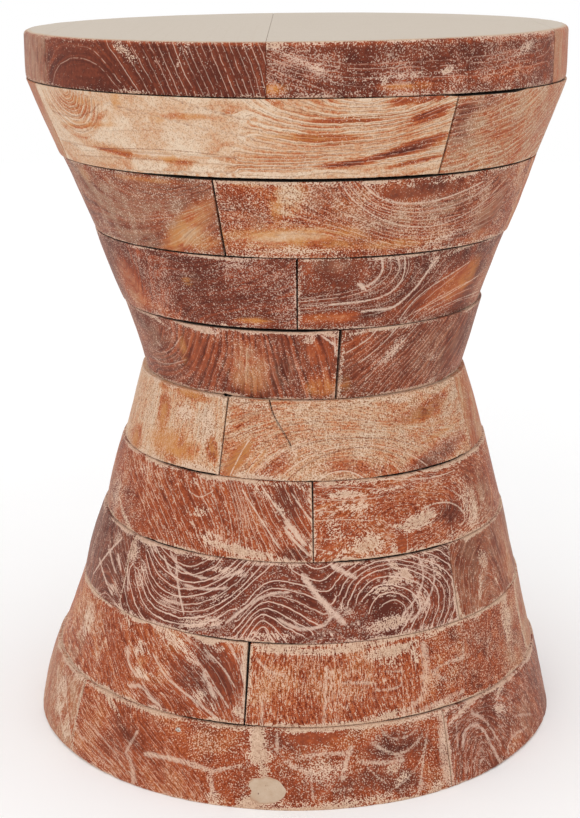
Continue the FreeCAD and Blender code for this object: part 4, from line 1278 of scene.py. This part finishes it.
def brad_head(settings):
    """The brad: a worn, slightly domed head on a thin shank, set into the foot course."""
    low_box, high_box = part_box("brad_nail")
    centre = (low_box + high_box) / 2 / MM
    azimuth = math.degrees(math.atan2(centre.x, -centre.y))
    radius = (high_box.z - low_box.z) / MM / 2
    out = Vector((math.sin(math.radians(azimuth)), -math.cos(math.radians(azimuth)), 0))
    side = Vector((0, 0, 1)).cross(out)
    middle = out * float(turned_radius(COURSES, azimuth, centre.z))
    middle.z = centre.z
    points = [middle + out * BRAD_CROWN]
    for share, proud in BRAD_PROFILE:
        for i in range(BRAD_SIDES):
            turn = 2 * math.pi * i / BRAD_SIDES
            points.append(middle + out * proud + (side * math.cos(turn)
                          + Vector((0, 0, 1)) * math.sin(turn)) * radius * share)
    points.append(middle + out * BRAD_PROFILE[-1][1])
    faces = ringed_faces(BRAD_SIDES, len(BRAD_PROFILE), 1, 0, len(points) - 1)
    piece = mesh_object("brad_in_foot", np.array([tuple(p) for p in points]), faces, {},
                        brad_material(settings))
    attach(piece, "root")
    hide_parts("brad_nail")
    return piece


def srgb(red, green, blue):
    """Linear colour of an sRGB colour given from 0 to 255."""
    def linear(value):
        value /= 255
        return value / 12.92 if value <= .04045 else ((value + .055) / 1.055) ** 2.4
    return (linear(red), linear(green), linear(blue), 1.0)


class Value:
    """One output of a node. Arithmetic on it adds the nodes that work out the result."""

    def __init__(self, wires, socket):
        self.wires = wires
        self.socket = socket

    def __add__(self, other):
        return self.wires.math("ADD", self, other)

    def __sub__(self, number):
        return self.wires.math("ADD", self, -number)

    def __mul__(self, other):
        return self.wires.math("MULTIPLY", self, other)

    def __truediv__(self, other):
        return self.wires.math("DIVIDE", self, other)

    def __abs__(self):
        return self.wires.math("ABSOLUTE", self)


class Wires:
    """Adds nodes to one shader tree and joins their sockets."""

    def __init__(self, tree):
        self.tree = tree

    def node(self, kind, values=None, **facts):
        made = self.tree.nodes.new(kind)
        for key, value in facts.items():
            setattr(made, key, value)
        for slot, value in (values or {}).items():
            if isinstance(value, Value):
                value = value.socket
            if isinstance(value, bpy.types.NodeSocket):
                self.tree.links.new(value, made.inputs[slot])
            else:
                made.inputs[slot].default_value = value
        return made

    def out(self, kind, values=None, output=0, **facts):
        """Adds a node and gives one of its outputs."""
        return Value(self, self.node(kind, values, **facts).outputs[output])

    def math(self, operation, first, second=0.0, clamp=False):
        return self.out("ShaderNodeMath", {0: first, 1: second, 2: 0.0},
                        operation=operation, use_clamp=clamp)

    def higher(self, first, second):
        return self.math("MAXIMUM", first, second)

    def lower(self, first, second):
        return self.math("MINIMUM", first, second)

    def between(self, low, high, value):
        """A smooth rise from 0 to 1 while the value goes from low to high."""
        return self.out("ShaderNodeMapRange", {"Value": value, "From Min": low, "From Max": high},
                        interpolation_type="SMOOTHSTEP")

    def noise(self, vector, scale=1.0, detail=2.0, roughness=.5):
        """Noise centred on 0."""
        return self.out("ShaderNodeTexNoise", {"Vector": vector, "Scale": scale,
                                               "Detail": detail, "Roughness": roughness}) - .5

    def mark(self, name, output="Fac"):
        """A mark that the mesh carries at each of its points."""
        return self.out("ShaderNodeAttribute", None, output, attribute_name=name,
                        attribute_type="GEOMETRY")

    def marks(self, name):
        """The three numbers of a mark."""
        return self.split(self.mark(name, "Vector"))

    def split(self, vector):
        made = self.node("ShaderNodeSeparateXYZ", {0: vector})
        return [Value(self, output) for output in made.outputs]

    def vector(self, x, y, z):
        return self.out("ShaderNodeCombineXYZ", {0: x, 1: y, 2: z})

    def stretch(self, vector, x, y, z):
        return self.out("ShaderNodeVectorMath", {0: vector, 1: (x, y, z)}, operation="MULTIPLY")

    def place(self):
        """Place on the object, in millimetres."""
        return self.stretch(self.out("ShaderNodeTexCoord", None, "Object"),
                            1 / MM, 1 / MM, 1 / MM)

    def blend(self, share, first, second, kind="MIX"):
        return self.out("ShaderNodeMix", {0: share, 6: first, 7: second}, 2, data_type="RGBA",
                        blend_type=kind, clamp_factor=True)

    def ramp(self, value, colours):
        made = self.node("ShaderNodeValToRGB", {0: value})
        stops = made.color_ramp.elements
        while len(stops) > 1:
            stops.remove(stops[-1])
        stops[0].position, stops[0].color = colours[0]
        for position, colour in colours[1:]:
            stop = stops.new(position)
            stop.color = colour
        return Value(self, made.outputs[0])


# Stains from maroon to pale tan, in the order of the stain mark
STAINS = (
    (0.0, srgb(86, 39, 28)), (.2, srgb(117, 56, 38)), (.42, srgb(156, 74, 42)),
    (.58, srgb(178, 96, 56)), (.7, srgb(196, 136, 97)), (.82, srgb(208, 168, 134)),
    (1.0, srgb(224, 200, 174)),
)
CREAM = srgb(219, 190, 166)
RED_CREAM = srgb(220, 188, 172)
LINE_CREAM = srgb(222, 196, 176)
DAUB_PALE = srgb(220, 192, 168)
DAUB_DARK = srgb(170, 132, 108)
PORE_SHADE = srgb(166, 124, 104)
LINE_SHADE = srgb(158, 108, 82)
GOLDEN = srgb(198, 134, 68)
# Grey of the film over the stain, and toward the sides a painted sheen of glancing light
GREY_FILM_AND_SHEEN = srgb(160, 128, 104)
# Dark painted shade with dirt, deep in seams, joints and cracks and on hidden inner faces
SLOT_SHADE_AND_DIRT = srgb(34, 20, 15)
DUST_TINT = srgb(216, 204, 188)
# Pale upper face of the top: a pale wash and a painted reflection of the white surroundings
PALE_TOP_WITH_REFLECTION = srgb(188, 177, 164)
WORN_TOP = srgb(190, 158, 126)

# Sizes of the noises that draw the figure, from drifts of tone down to grit
SLOW_SIZE = 30
PATCH_SIZE = 10
QUICK_SIZE = 6
FINE_SIZE = 2.2
DOT_SIZE = 0.95
GRIT_SIZE = 0.75
# Length of a fibre along the wood
FIBRE_LENGTH = 13
# Where in each ring, from 0 to 1, its pale line and its dark line run
PALE_LINE_AT = 0.14
DARK_LINE_AT = 0.36
# The sockets of the shared node group
FIGURE_SOCKETS = (
    ("Tone", "NodeSocketColor", "INPUT"), ("Grain contrast", "NodeSocketFloat", "INPUT"),
    ("Wash", "NodeSocketFloat", "INPUT"), ("Colour", "NodeSocketColor", "OUTPUT"),
    ("Roughness", "NodeSocketFloat", "OUTPUT"), ("Relief", "NodeSocketFloat", "OUTPUT"),
)


def wood_figure():
    """The shared node group that turns a piece's marks into colour, roughness and relief."""
    name = "Stained and washed wood"
    if name in bpy.data.node_groups:
        return bpy.data.node_groups[name]
    group = bpy.data.node_groups.new(name, "ShaderNodeTree")
    for label, kind, way in FIGURE_SOCKETS:
        group.interface.new_socket(label, in_out=way, socket_type=kind)
    wires = Wires(group)
    given = wires.node("NodeGroupInput").outputs
    contrast = given["Grain contrast"]
    distance, spacing, seed = wires.marks("rings")
    stain_mark, wash_mark, edge = wires.marks("finish")
    lines, bands, speckle = wires.marks("figure")
    grey_mark, gold_mark, slope = wires.marks("film")
    stroke_side, stroke_gap, stroke_amount = wires.marks("stroke")
    upper_face = wires.mark("upper_face")

    # Place in millimetres, moved on for each piece so that no two show the same noise
    own = wires.out("ShaderNodeVectorMath", {
        0: wires.place(), 1: wires.vector(seed * 37.0, seed * 53.0, seed * 71.0)},
        operation="ADD")
    slow = wires.noise(own, 1 / SLOW_SIZE, 1.0)
    patchy = wires.noise(own, 1 / PATCH_SIZE, 2.0)
    fine = wires.noise(own, 1 / FINE_SIZE, 1.0)
    quick = wires.noise(own, 1 / QUICK_SIZE, 1.0)

    # Growth rings follow the piece's own ring distance, bent by slow and quick noise
    bent = distance + (slow * 2.0 + quick * 1.6) * wires.lower(slope, 1.0)
    phase = bent / spacing
    ring_number = wires.math("FLOOR", phase)
    ring_share = wires.math("FRACT", phase)
    ring_chance = wires.out("ShaderNodeTexWhiteNoise", {"W": ring_number + seed}, "Value",
                            noise_dimensions="1D")
    late = wires.between(.3, .9, ring_share) * wires.between(1.0, .93, ring_share)
    late = late * (ring_chance * .9 + .25) * bands * contrast

    # Fibres run along the rings: quick across them, slow along them
    x, y, z = wires.split(own)
    level = x + y
    fibre = wires.noise(wires.vector(bent * 1.9, level * (1 / FIBRE_LENGTH),
                                     z * (1 / FIBRE_LENGTH)), 1.0, 2.0, .6)
    coarse = wires.noise(wires.vector(bent * .5, level * .06, z * .06), 1.0, 2.0, .55)
    streaks = wires.noise(wires.vector(bent * 1.3, level * .28, z * .28), 1.0, 1.0)
    dots = wires.noise(own, 1 / DOT_SIZE, 1.0)
    dotted = wires.higher(wires.mark("round_flecks"), wires.between(.75, .25, slope))
    pores = dots * dotted + streaks * (dotted * -1.0 + 1.0)
    grit = wires.noise(own, 1 / GRIT_SIZE, 1.0)
    scratch = pores * 3.1 + grit * 2.2

    # A thin pale line at each ring, broken into dashes
    off_line = abs(ring_share - PALE_LINE_AT) * spacing / slope
    clear = wires.between(.15, .4, slope)
    ring_line = wires.between(lines * .24 + .2, .06, off_line) * clear
    dash_noise = quick + fine * .6 + slow * .5
    dashes = wires.between(-.05, .12, dash_noise + lines * .26)
    ring_line = ring_line * dashes * lines * (ring_chance * .7 + .5)

    # Cream wash: pores and scratches hold it, more closely where the marks ask for more
    held = speckle * ((patchy + slow) * .9 + .34)
    laid = wires.lower(wash_mark, 1.3)
    thick = wires.higher(laid - 1.0, 0.0)
    held = held + laid * .8 * given["Wash"] + thick * 1.2 + patchy * .3
    held = held + wires.lower(speckle - .6, 0.0) * .7 + scratch
    body = laid * .6 + stain_mark * .6 + .5
    gilt = gold_mark * wires.between(-.3, .12, patchy + fibre * .8)
    wash = wires.between(.5, .72, held) * wires.lower(body, 1.0) * (gilt * -.8 + 1.0)
    wash = wires.higher(wash, ring_line)

    # Brush strokes with ragged edges, and dark lines
    ragged = abs(stroke_side) + grit * 2.6 + fine * 1.6
    brushed = wires.between(1.4, .5, ragged) * wires.between(1.3, .4, stroke_gap)
    whole = abs(stroke_amount) * .9 + scratch + (quick + patchy)
    brushed = brushed * wires.between(-.15, .6, whole)
    brushed_pale = brushed * wires.math("MULTIPLY", stroke_amount, 1.05, clamp=True)
    wash = wires.higher(wash, brushed_pale)
    drawn = brushed * wires.math("MULTIPLY", stroke_amount, -1.0, clamp=True)
    off_dark = abs(ring_share - DARK_LINE_AT) * spacing / slope
    dark_ring = wires.between(.42, .1, off_dark) * bands * dashes * clear
    dark_ring = dark_ring * wires.between(.45, .7, stain_mark)
    drawn = wires.higher(drawn, dark_ring * .55)

    # The stain, with pits, gold, dark lines and a grey film over it; toward the sides the grey is
    # a painted sheen of glancing light
    unrest = speckle * .7 + .3
    stain = stain_mark + slow * .32 * unrest + (ring_chance - .5) * .12
    stain = stain + fibre * contrast * .42 + coarse * contrast * .45
    stain = stain + late * -.3 + fine * .3 + patchy * .22 * unrest
    colour = wires.ramp(stain, STAINS)
    pits = speckle * wires.between(.25, .5, stain_mark) * wires.between(-.1, -.5, scratch)
    colour = wires.blend(pits, colour, wires.blend(1.0, colour, PORE_SHADE, "MULTIPLY"))
    golden = wires.between(.3, .6, stain_mark) * wires.between(.92, .72, stain_mark)
    golden = golden * wires.between(-.02, .2, slow + patchy * .6)
    colour = wires.blend(golden * .2 + gilt * .7, colour, GOLDEN)
    colour = wires.blend(drawn * .9, colour, wires.blend(1.0, colour, LINE_SHADE, "MULTIPLY"))
    greyed = grey_mark * wires.between(-.3, .25, patchy + coarse)
    colour = wires.blend(greyed * .7, colour, GREY_FILM_AND_SHEEN)

    # The wash on top, thinner over fibres and thicker where it was daubed on
    paler = wires.blend(wires.math("MULTIPLY", stain_mark - .1, 1.4, clamp=True),
                        RED_CREAM, CREAM)
    wash_tint = wires.blend(fibre * 1.6 + .5, paler, CREAM)
    daub = wires.blend(grit * 1.5 + fine * .9 + .5, DAUB_DARK, DAUB_PALE)
    wash_tint = wires.blend(wires.between(.35, 1.0, laid) * .85, wash_tint, daub)
    cover = scratch + fibre * -1.5 + laid * .6
    wash_tint = wires.blend(wires.between(.05, .6, cover), wires.blend(.4, wash_tint, colour),
                            wash_tint)
    colour = wires.blend(wash * .94, colour, wash_tint)
    bright = wires.blend(grit * 1.2 + .7, paler, LINE_CREAM)
    colour = wires.blend(wires.higher(ring_line, brushed_pale) * .5, colour, bright)

    # The upper face: pale all over, a pale wash with a painted reflection of the white
    # surroundings at a glancing view, with a faint grain, and worn tan at its rim
    face_tint = wires.blend(coarse * .5 + .5, PALE_TOP_WITH_REFLECTION, WORN_TOP)
    face_colour = wires.blend(wires.between(3.2, .2, edge) + coarse * .12, PALE_TOP_WITH_REFLECTION, face_tint)
    colour = wires.blend(upper_face, colour, face_colour)

    # Tone of the slot, then painted shade with dirt deep in the seams and joints, in cracks and on
    # the hidden inner faces
    colour = wires.blend(1.0, colour, given["Tone"], "MULTIPLY")
    shade_and_dirt = wires.between(-.15, -1.6, edge + fine * .5)
    colour = wires.blend(shade_and_dirt, colour, SLOT_SHADE_AND_DIRT)

    rough = wash * .16 + .58 + fibre * .16 + grit * .2 + shade_and_dirt * .3
    relief = fibre * .7 + late * .5 + wash * .5 + fine * .4
    relief = relief * (upper_face * -.8 + 1.0)
    wires.node("NodeGroupOutput", {"Colour": colour, "Roughness": rough, "Relief": relief})
    return group


# Tone of each wood over the shared figure, and how strongly its grain reads
WOODS = {
    "top_wood": ((1.0, .99, .98, 1), 1.0), "tan_wood": ((1.0, 1.0, 1.0, 1), .8),
    "grey_tan_wood": ((.97, .98, .98, 1), .9), "red_brown_wood": ((1.0, 1.0, .99, 1), 1.0),
    "orange_red_wood": ((1.0, .99, .96, 1), 1.0), "maroon_wood": ((1.0, .97, .97, 1), 1.1),
}


def fresh_material(name):
    """A material of this name and the wires of its empty tree, or None if it was made before."""
    material = bpy.data.materials.get(name)
    if material is not None:
        return material, None
    material = bpy.data.materials.new(name)
    material.use_nodes = True
    material.node_tree.nodes.clear()
    return material, Wires(material.node_tree)


def surface_of(wires, colour, roughness, relief, depth, **facts):
    """Closes a material: relief becomes bump, and the fixed values go on the shader itself."""
    bump = wires.node("ShaderNodeBump", {"Height": relief, "Distance": depth, "Strength": 1.0})
    shader = wires.node("ShaderNodeBsdfPrincipled", {
        "Base Color": colour, "Roughness": roughness, "Normal": bump.outputs[0]})
    for socket, value in facts.items():
        shader.inputs[socket.replace("_", " ")].default_value = value
    wires.node("ShaderNodeOutputMaterial", {0: shader.outputs[0]})


def wood_material(slot_name, settings):
    """Hand-rubbed wood of one slot, with the waxed coat of the finish."""
    material, wires = fresh_material(slot_name.replace("_", " ").capitalize())
    if wires is None:
        return material
    tone, contrast = WOODS[slot_name]
    figure = wires.node("ShaderNodeGroup")
    figure.node_tree = wood_figure()
    figure.inputs["Tone"].default_value = tone
    figure.inputs["Grain contrast"].default_value = contrast * settings.grain_contrast
    figure.inputs["Wash"].default_value = settings.wash_amount
    surface_of(wires, figure.outputs["Colour"], figure.outputs["Roughness"],
               figure.outputs["Relief"], settings.relief_depth, Specular_IOR_Level=.1,
               Coat_Weight=settings.wax, Coat_Roughness=.5, Sheen_Weight=settings.dust,
               Sheen_Roughness=.3, Sheen_Tint=DUST_TINT)
    return material


def filler_material(settings):
    """Pale wood filler, rubbed level, with fine grain and stained pinholes."""
    material, wires = fresh_material("Pale filler")
    if wires is None:
        return material
    place_mm = wires.place()
    clouds = wires.noise(place_mm, 1 / 7, 2.0)
    fine = wires.noise(place_mm, 1 / 1.3, 3.0, .6)
    colour = wires.blend(clouds * 1.1 + fine * .5 + .5, srgb(178, 148, 120), srgb(200, 178, 156))
    rim = wires.between(2.0, .2, wires.mark("edge") + clouds * 3.0) * .65
    colour = wires.blend(rim, colour, srgb(168, 120, 88))
    pinholes = wires.between(.2, .28, wires.noise(place_mm, 1 / 1.9, 1.0))
    colour = wires.blend(pinholes * .7, colour, srgb(120, 76, 54))
    surface_of(wires, colour, fine * .2 + .62, fine + pinholes * -1.2, settings.relief_depth)
    return material


def tenon_material(settings):
    """Plain unfinished hardwood of the hidden tenons, with straight grain along their height."""
    material, wires = fresh_material("Tenon wood")
    if wires is None:
        return material
    place_mm = wires.place()
    grain = wires.noise(wires.stretch(place_mm, .9, .9, .05), 1.0, 3.0, .6)
    rays = wires.noise(wires.stretch(place_mm, 2.6, 2.6, .22), 1.0, 1.0)
    colour = wires.ramp(grain * 1.2 + .5, (
        (0.0, srgb(164, 124, 86)), (.5, srgb(192, 154, 112)), (1.0, srgb(212, 180, 140))))
    colour = wires.blend(wires.between(.1, .2, rays) * .5, colour, srgb(140, 98, 66))
    surface_of(wires, colour, grain * .2 + .7, grain + rays * .5, settings.relief_depth)
    return material


def brad_material(settings):
    """Dulled steel of the brad, with brown tarnish and fine scratches."""
    material, wires = fresh_material("Brad steel")
    if wires is None:
        return material
    place_mm = wires.place()
    clouds = wires.noise(place_mm, 1 / 1.6, 3.0)
    scratches = wires.noise(wires.stretch(place_mm, 6.0, 6.0, .8), 1.0, 2.0)
    tarnish = wires.between(-.12, .16, clouds)
    colour = wires.blend(tarnish, srgb(206, 196, 186), srgb(130, 104, 90))
    surface_of(wires, colour, tarnish * .3 + .4 + scratches * .2, clouds + scratches,
               settings.relief_depth, Metallic=.75)
    return material



class AccentTableSettings(PropertyGroup):
    """Sizes, finish and stage values of the accent table."""

    mesh_pitch: FloatProperty(
        name="Mesh pitch", description="Spacing of the mesh on the turned faces at the front",
        default=1.25 * MM, min=.5 * MM, max=6 * MM, unit="LENGTH", precision=5)
    arris: FloatProperty(
        name="Arris", description="Usual size of the eased edges of the blocks",
        default=.4 * MM, min=.1 * MM, max=3 * MM, unit="LENGTH", precision=5)
    tool_wave: FloatProperty(
        name="Tool wave", description="Height of the slow waves that hand turning left",
        default=.28 * MM, min=0.0, max=1 * MM, unit="LENGTH", precision=5)
    fill_proud: FloatProperty(
        name="Filler proud", description="How far the oval of filler stands over the foot course",
        default=.22 * MM, min=0.0, max=1 * MM, unit="LENGTH", precision=5)
    relief_depth: FloatProperty(
        name="Relief depth", description="Depth of grain, pores and wash on the wood",
        default=.16 * MM, min=0.0, max=1 * MM, unit="LENGTH", precision=5)
    grain_contrast: FloatProperty(
        name="Grain contrast", description="How strongly rings and fibres change the stain",
        default=1.0, min=0.0, max=2.0, subtype="FACTOR")
    wash_amount: FloatProperty(
        name="Wash amount", description="How much cream wash was left on the wood",
        default=1.0, min=0.0, max=2.0, subtype="FACTOR")
    wax: FloatProperty(
        name="Wax", description="Weight of the waxed coat over the stain",
        default=.01, min=0.0, max=1.0, subtype="FACTOR")
    dust: FloatProperty(
        name="Dust", description="Weight of the pale dusty sheen that shows at a glancing view",
        default=.2, min=0.0, max=1.0, subtype="FACTOR")
    camera_place: FloatVectorProperty(
        name="Camera place", description="Place of the studio camera from the centre of the foot",
        default=(0.0, -1.1748, .5376), size=3, subtype="TRANSLATION", unit="LENGTH")
    camera_pitch: FloatProperty(
        name="Camera pitch", description="How far the camera looks down",
        default=math.radians(15.42), subtype="ANGLE", unit="ROTATION")
    lens: FloatProperty(
        name="Lens", description="Focal length on a 36 mm wide sensor, in millimetres",
        default=76.32, min=10.0, max=300.0)
    shift: FloatProperty(
        name="Shift", description="Sideways shift of the lens as a share of the sensor",
        default=-6 / 818, min=-.1, max=.1)
    sky_level: FloatProperty(
        name="Sky level", description="Strength of the even light of the studio tent",
        default=.82, min=0.0, max=3.0)
    key_power: FloatProperty(
        name="Key power", description="Power of the large soft lamp above the camera, in watts",
        default=8.0, min=0.0, max=500.0)
    roof_level: FloatProperty(
        name="Roof level", description="Strength of the broad soft light from the roof",
        default=.8, min=0.0, max=20.0)


class ACCENT_OT_turn_courses(Operator):
    """Turn the nine courses of glued blocks, each block a piece of its own"""
    bl_idname = "accent_table.turn_courses"
    bl_label = "Turn the courses"

    def execute(self, context):
        settings = context.scene.accent_table
        for course in range(1, COURSES + 1):
            for block in range(1, len(JOINTS[course - 1]) + 1):
                course_block(course, block, settings)
        return {"FINISHED"}


class ACCENT_OT_top_boards(Operator):
    """Turn the four boards of the top"""
    bl_idname = "accent_table.top_boards"
    bl_label = "Make the top boards"

    def execute(self, context):
        settings = context.scene.accent_table
        gap = TOP_GLUE / 2
        cuts = (-TOP_RADIUS - gap, *TOP_CUTS, TOP_RADIUS + gap)
        for number, node in enumerate(TOP_NODES):
            top_board(number, cuts[number] + gap, cuts[number + 1] - gap, node, settings)
        return {"FINISHED"}


class ACCENT_OT_foot_details(Operator):
    """Add the oval of filler and the brad in the foot course"""
    bl_idname = "accent_table.foot_details"
    bl_label = "Add filler and brad"

    def execute(self, context):
        settings = context.scene.accent_table
        oval_fill(settings)
        brad_head(settings)
        return {"FINISHED"}


class ACCENT_OT_tenons(Operator):
    """Give the hidden tenons their plain wood"""
    bl_idname = "accent_table.tenons"
    bl_label = "Finish the tenons"

    def execute(self, context):
        settings = context.scene.accent_table
        for name, tenon in frame["nodes"].items():
            if name.startswith("tenons"):
                tenon.data.materials.clear()
                tenon.data.materials.append(tenon_material(settings))
        return {"FINISHED"}


class ACCENT_OT_stage(Operator):
    """Set the pale floor, the even white light, the soft lamps and the camera"""
    bl_idname = "accent_table.stage"
    bl_label = "Set the stage"

    def execute(self, context):
        settings = context.scene.accent_table
        studio_floor()
        studio_light(settings)
        studio_camera(settings)
        context.scene.view_settings.view_transform = "Standard"
        return {"FINISHED"}


def studio_floor():
    """A plain pale floor that keeps the table's soft shadow."""
    size = 3.0
    corners = [(-size, -size, 0), (size, -size, 0), (size, size, 0), (-size, size, 0)]
    mesh = bpy.data.meshes.new("studio_floor")
    mesh.from_pydata(corners, [], [[0, 1, 2, 3]])
    floor = bpy.data.objects.new("studio_floor", mesh)
    bpy.context.scene.collection.objects.link(floor)
    material, wires = fresh_material("Pale floor")
    cloud = wires.noise(wires.place(), 1 / 300, 2.0)
    colour = wires.blend(cloud + .5, srgb(246, 246, 246), srgb(250, 250, 250))
    surface_of(wires, colour, cloud * .05 + .9, cloud, .01 * MM)
    mesh.materials.append(material)
    return floor


def studio_light(settings):
    """Even white light all round, white to the lens, and two large soft lamps."""
    world = bpy.data.worlds.new("Studio tent")
    bpy.context.scene.world = world
    world.use_nodes = True
    world.node_tree.nodes.clear()
    wires = Wires(world.node_tree)
    rays = wires.node("ShaderNodeLightPath").outputs
    seen = wires.higher(rays["Is Camera Ray"],
                        wires.higher(rays["Is Glossy Ray"], rays["Is Transmission Ray"]))
    tent = wires.node("ShaderNodeBackground", {0: (1, 1, 1, 1), 1: settings.sky_level})
    white = wires.node("ShaderNodeBackground", {0: (1, 1, 1, 1), 1: 1.0})
    both = wires.node("ShaderNodeMixShader", {0: seen, 1: tent.outputs[0], 2: white.outputs[0]})
    wires.node("ShaderNodeOutputWorld", {0: both.outputs[0]})
    lamp = bpy.data.lights.new("Key lamp", "AREA")
    lamp.shape = "SQUARE"
    lamp.size = 1.6
    lamp.energy = settings.key_power
    sun = bpy.data.lights.new("Roof light", "SUN")
    sun.energy = settings.roof_level
    sun.angle = math.radians(110)
    for light, spot in ((lamp, (-.5, -2.0, 1.5)), (sun, (-.2, -.5, 2.2))):
        holder = bpy.data.objects.new(light.name, light)
        holder.location = spot
        aim = Vector((0, 0, .25)) - Vector(spot)
        holder.rotation_euler = aim.to_track_quat("-Z", "Y").to_euler()
        bpy.context.scene.collection.objects.link(holder)


def studio_camera(settings):
    """The camera at the height and distance from which the table is shown."""
    lens = bpy.data.cameras.new("Studio camera")
    lens.lens = settings.lens
    lens.sensor_width = 36.0
    lens.sensor_fit = "AUTO"
    lens.shift_x = settings.shift
    lens.clip_start = .01
    lens.clip_end = 50.0
    camera = bpy.data.objects.new("Studio camera", lens)
    camera.location = settings.camera_place
    camera.rotation_euler = (math.pi / 2 - settings.camera_pitch, 0, 0)
    bpy.context.scene.collection.objects.link(camera)
    bpy.context.scene.camera = camera
    return camera


OPERATORS = (ACCENT_OT_turn_courses, ACCENT_OT_top_boards, ACCENT_OT_foot_details,
             ACCENT_OT_tenons, ACCENT_OT_stage)


class ACCENT_PT_panel(Panel):
    """Panel that lists the steps and the values of the table"""
    bl_idname = "ACCENT_PT_panel"
    bl_label = "Accent Table"
    bl_space_type = "VIEW_3D"
    bl_region_type = "UI"
    bl_category = "Accent Table"

    def draw(self, context):
        settings = context.scene.accent_table
        column = self.layout.column(align=True)
        for step in OPERATORS:
            column.operator(step.bl_idname)
        column = self.layout.column()
        for name in AccentTableSettings.__annotations__:
            column.prop(settings, name)


CLASSES = (AccentTableSettings, *OPERATORS, ACCENT_PT_panel)


def register():
    for piece in CLASSES:
        bpy.utils.register_class(piece)
    bpy.types.Scene.accent_table = PointerProperty(type=AccentTableSettings)


def unregister():
    del bpy.types.Scene.accent_table
    for piece in reversed(CLASSES):
        bpy.utils.unregister_class(piece)


def main():
    register()
    bpy.ops.accent_table.turn_courses()
    bpy.ops.accent_table.top_boards()
    bpy.ops.accent_table.foot_details()
    bpy.ops.accent_table.tenons()
    bpy.ops.accent_table.stage()


if __name__ == "__main__":
    main()
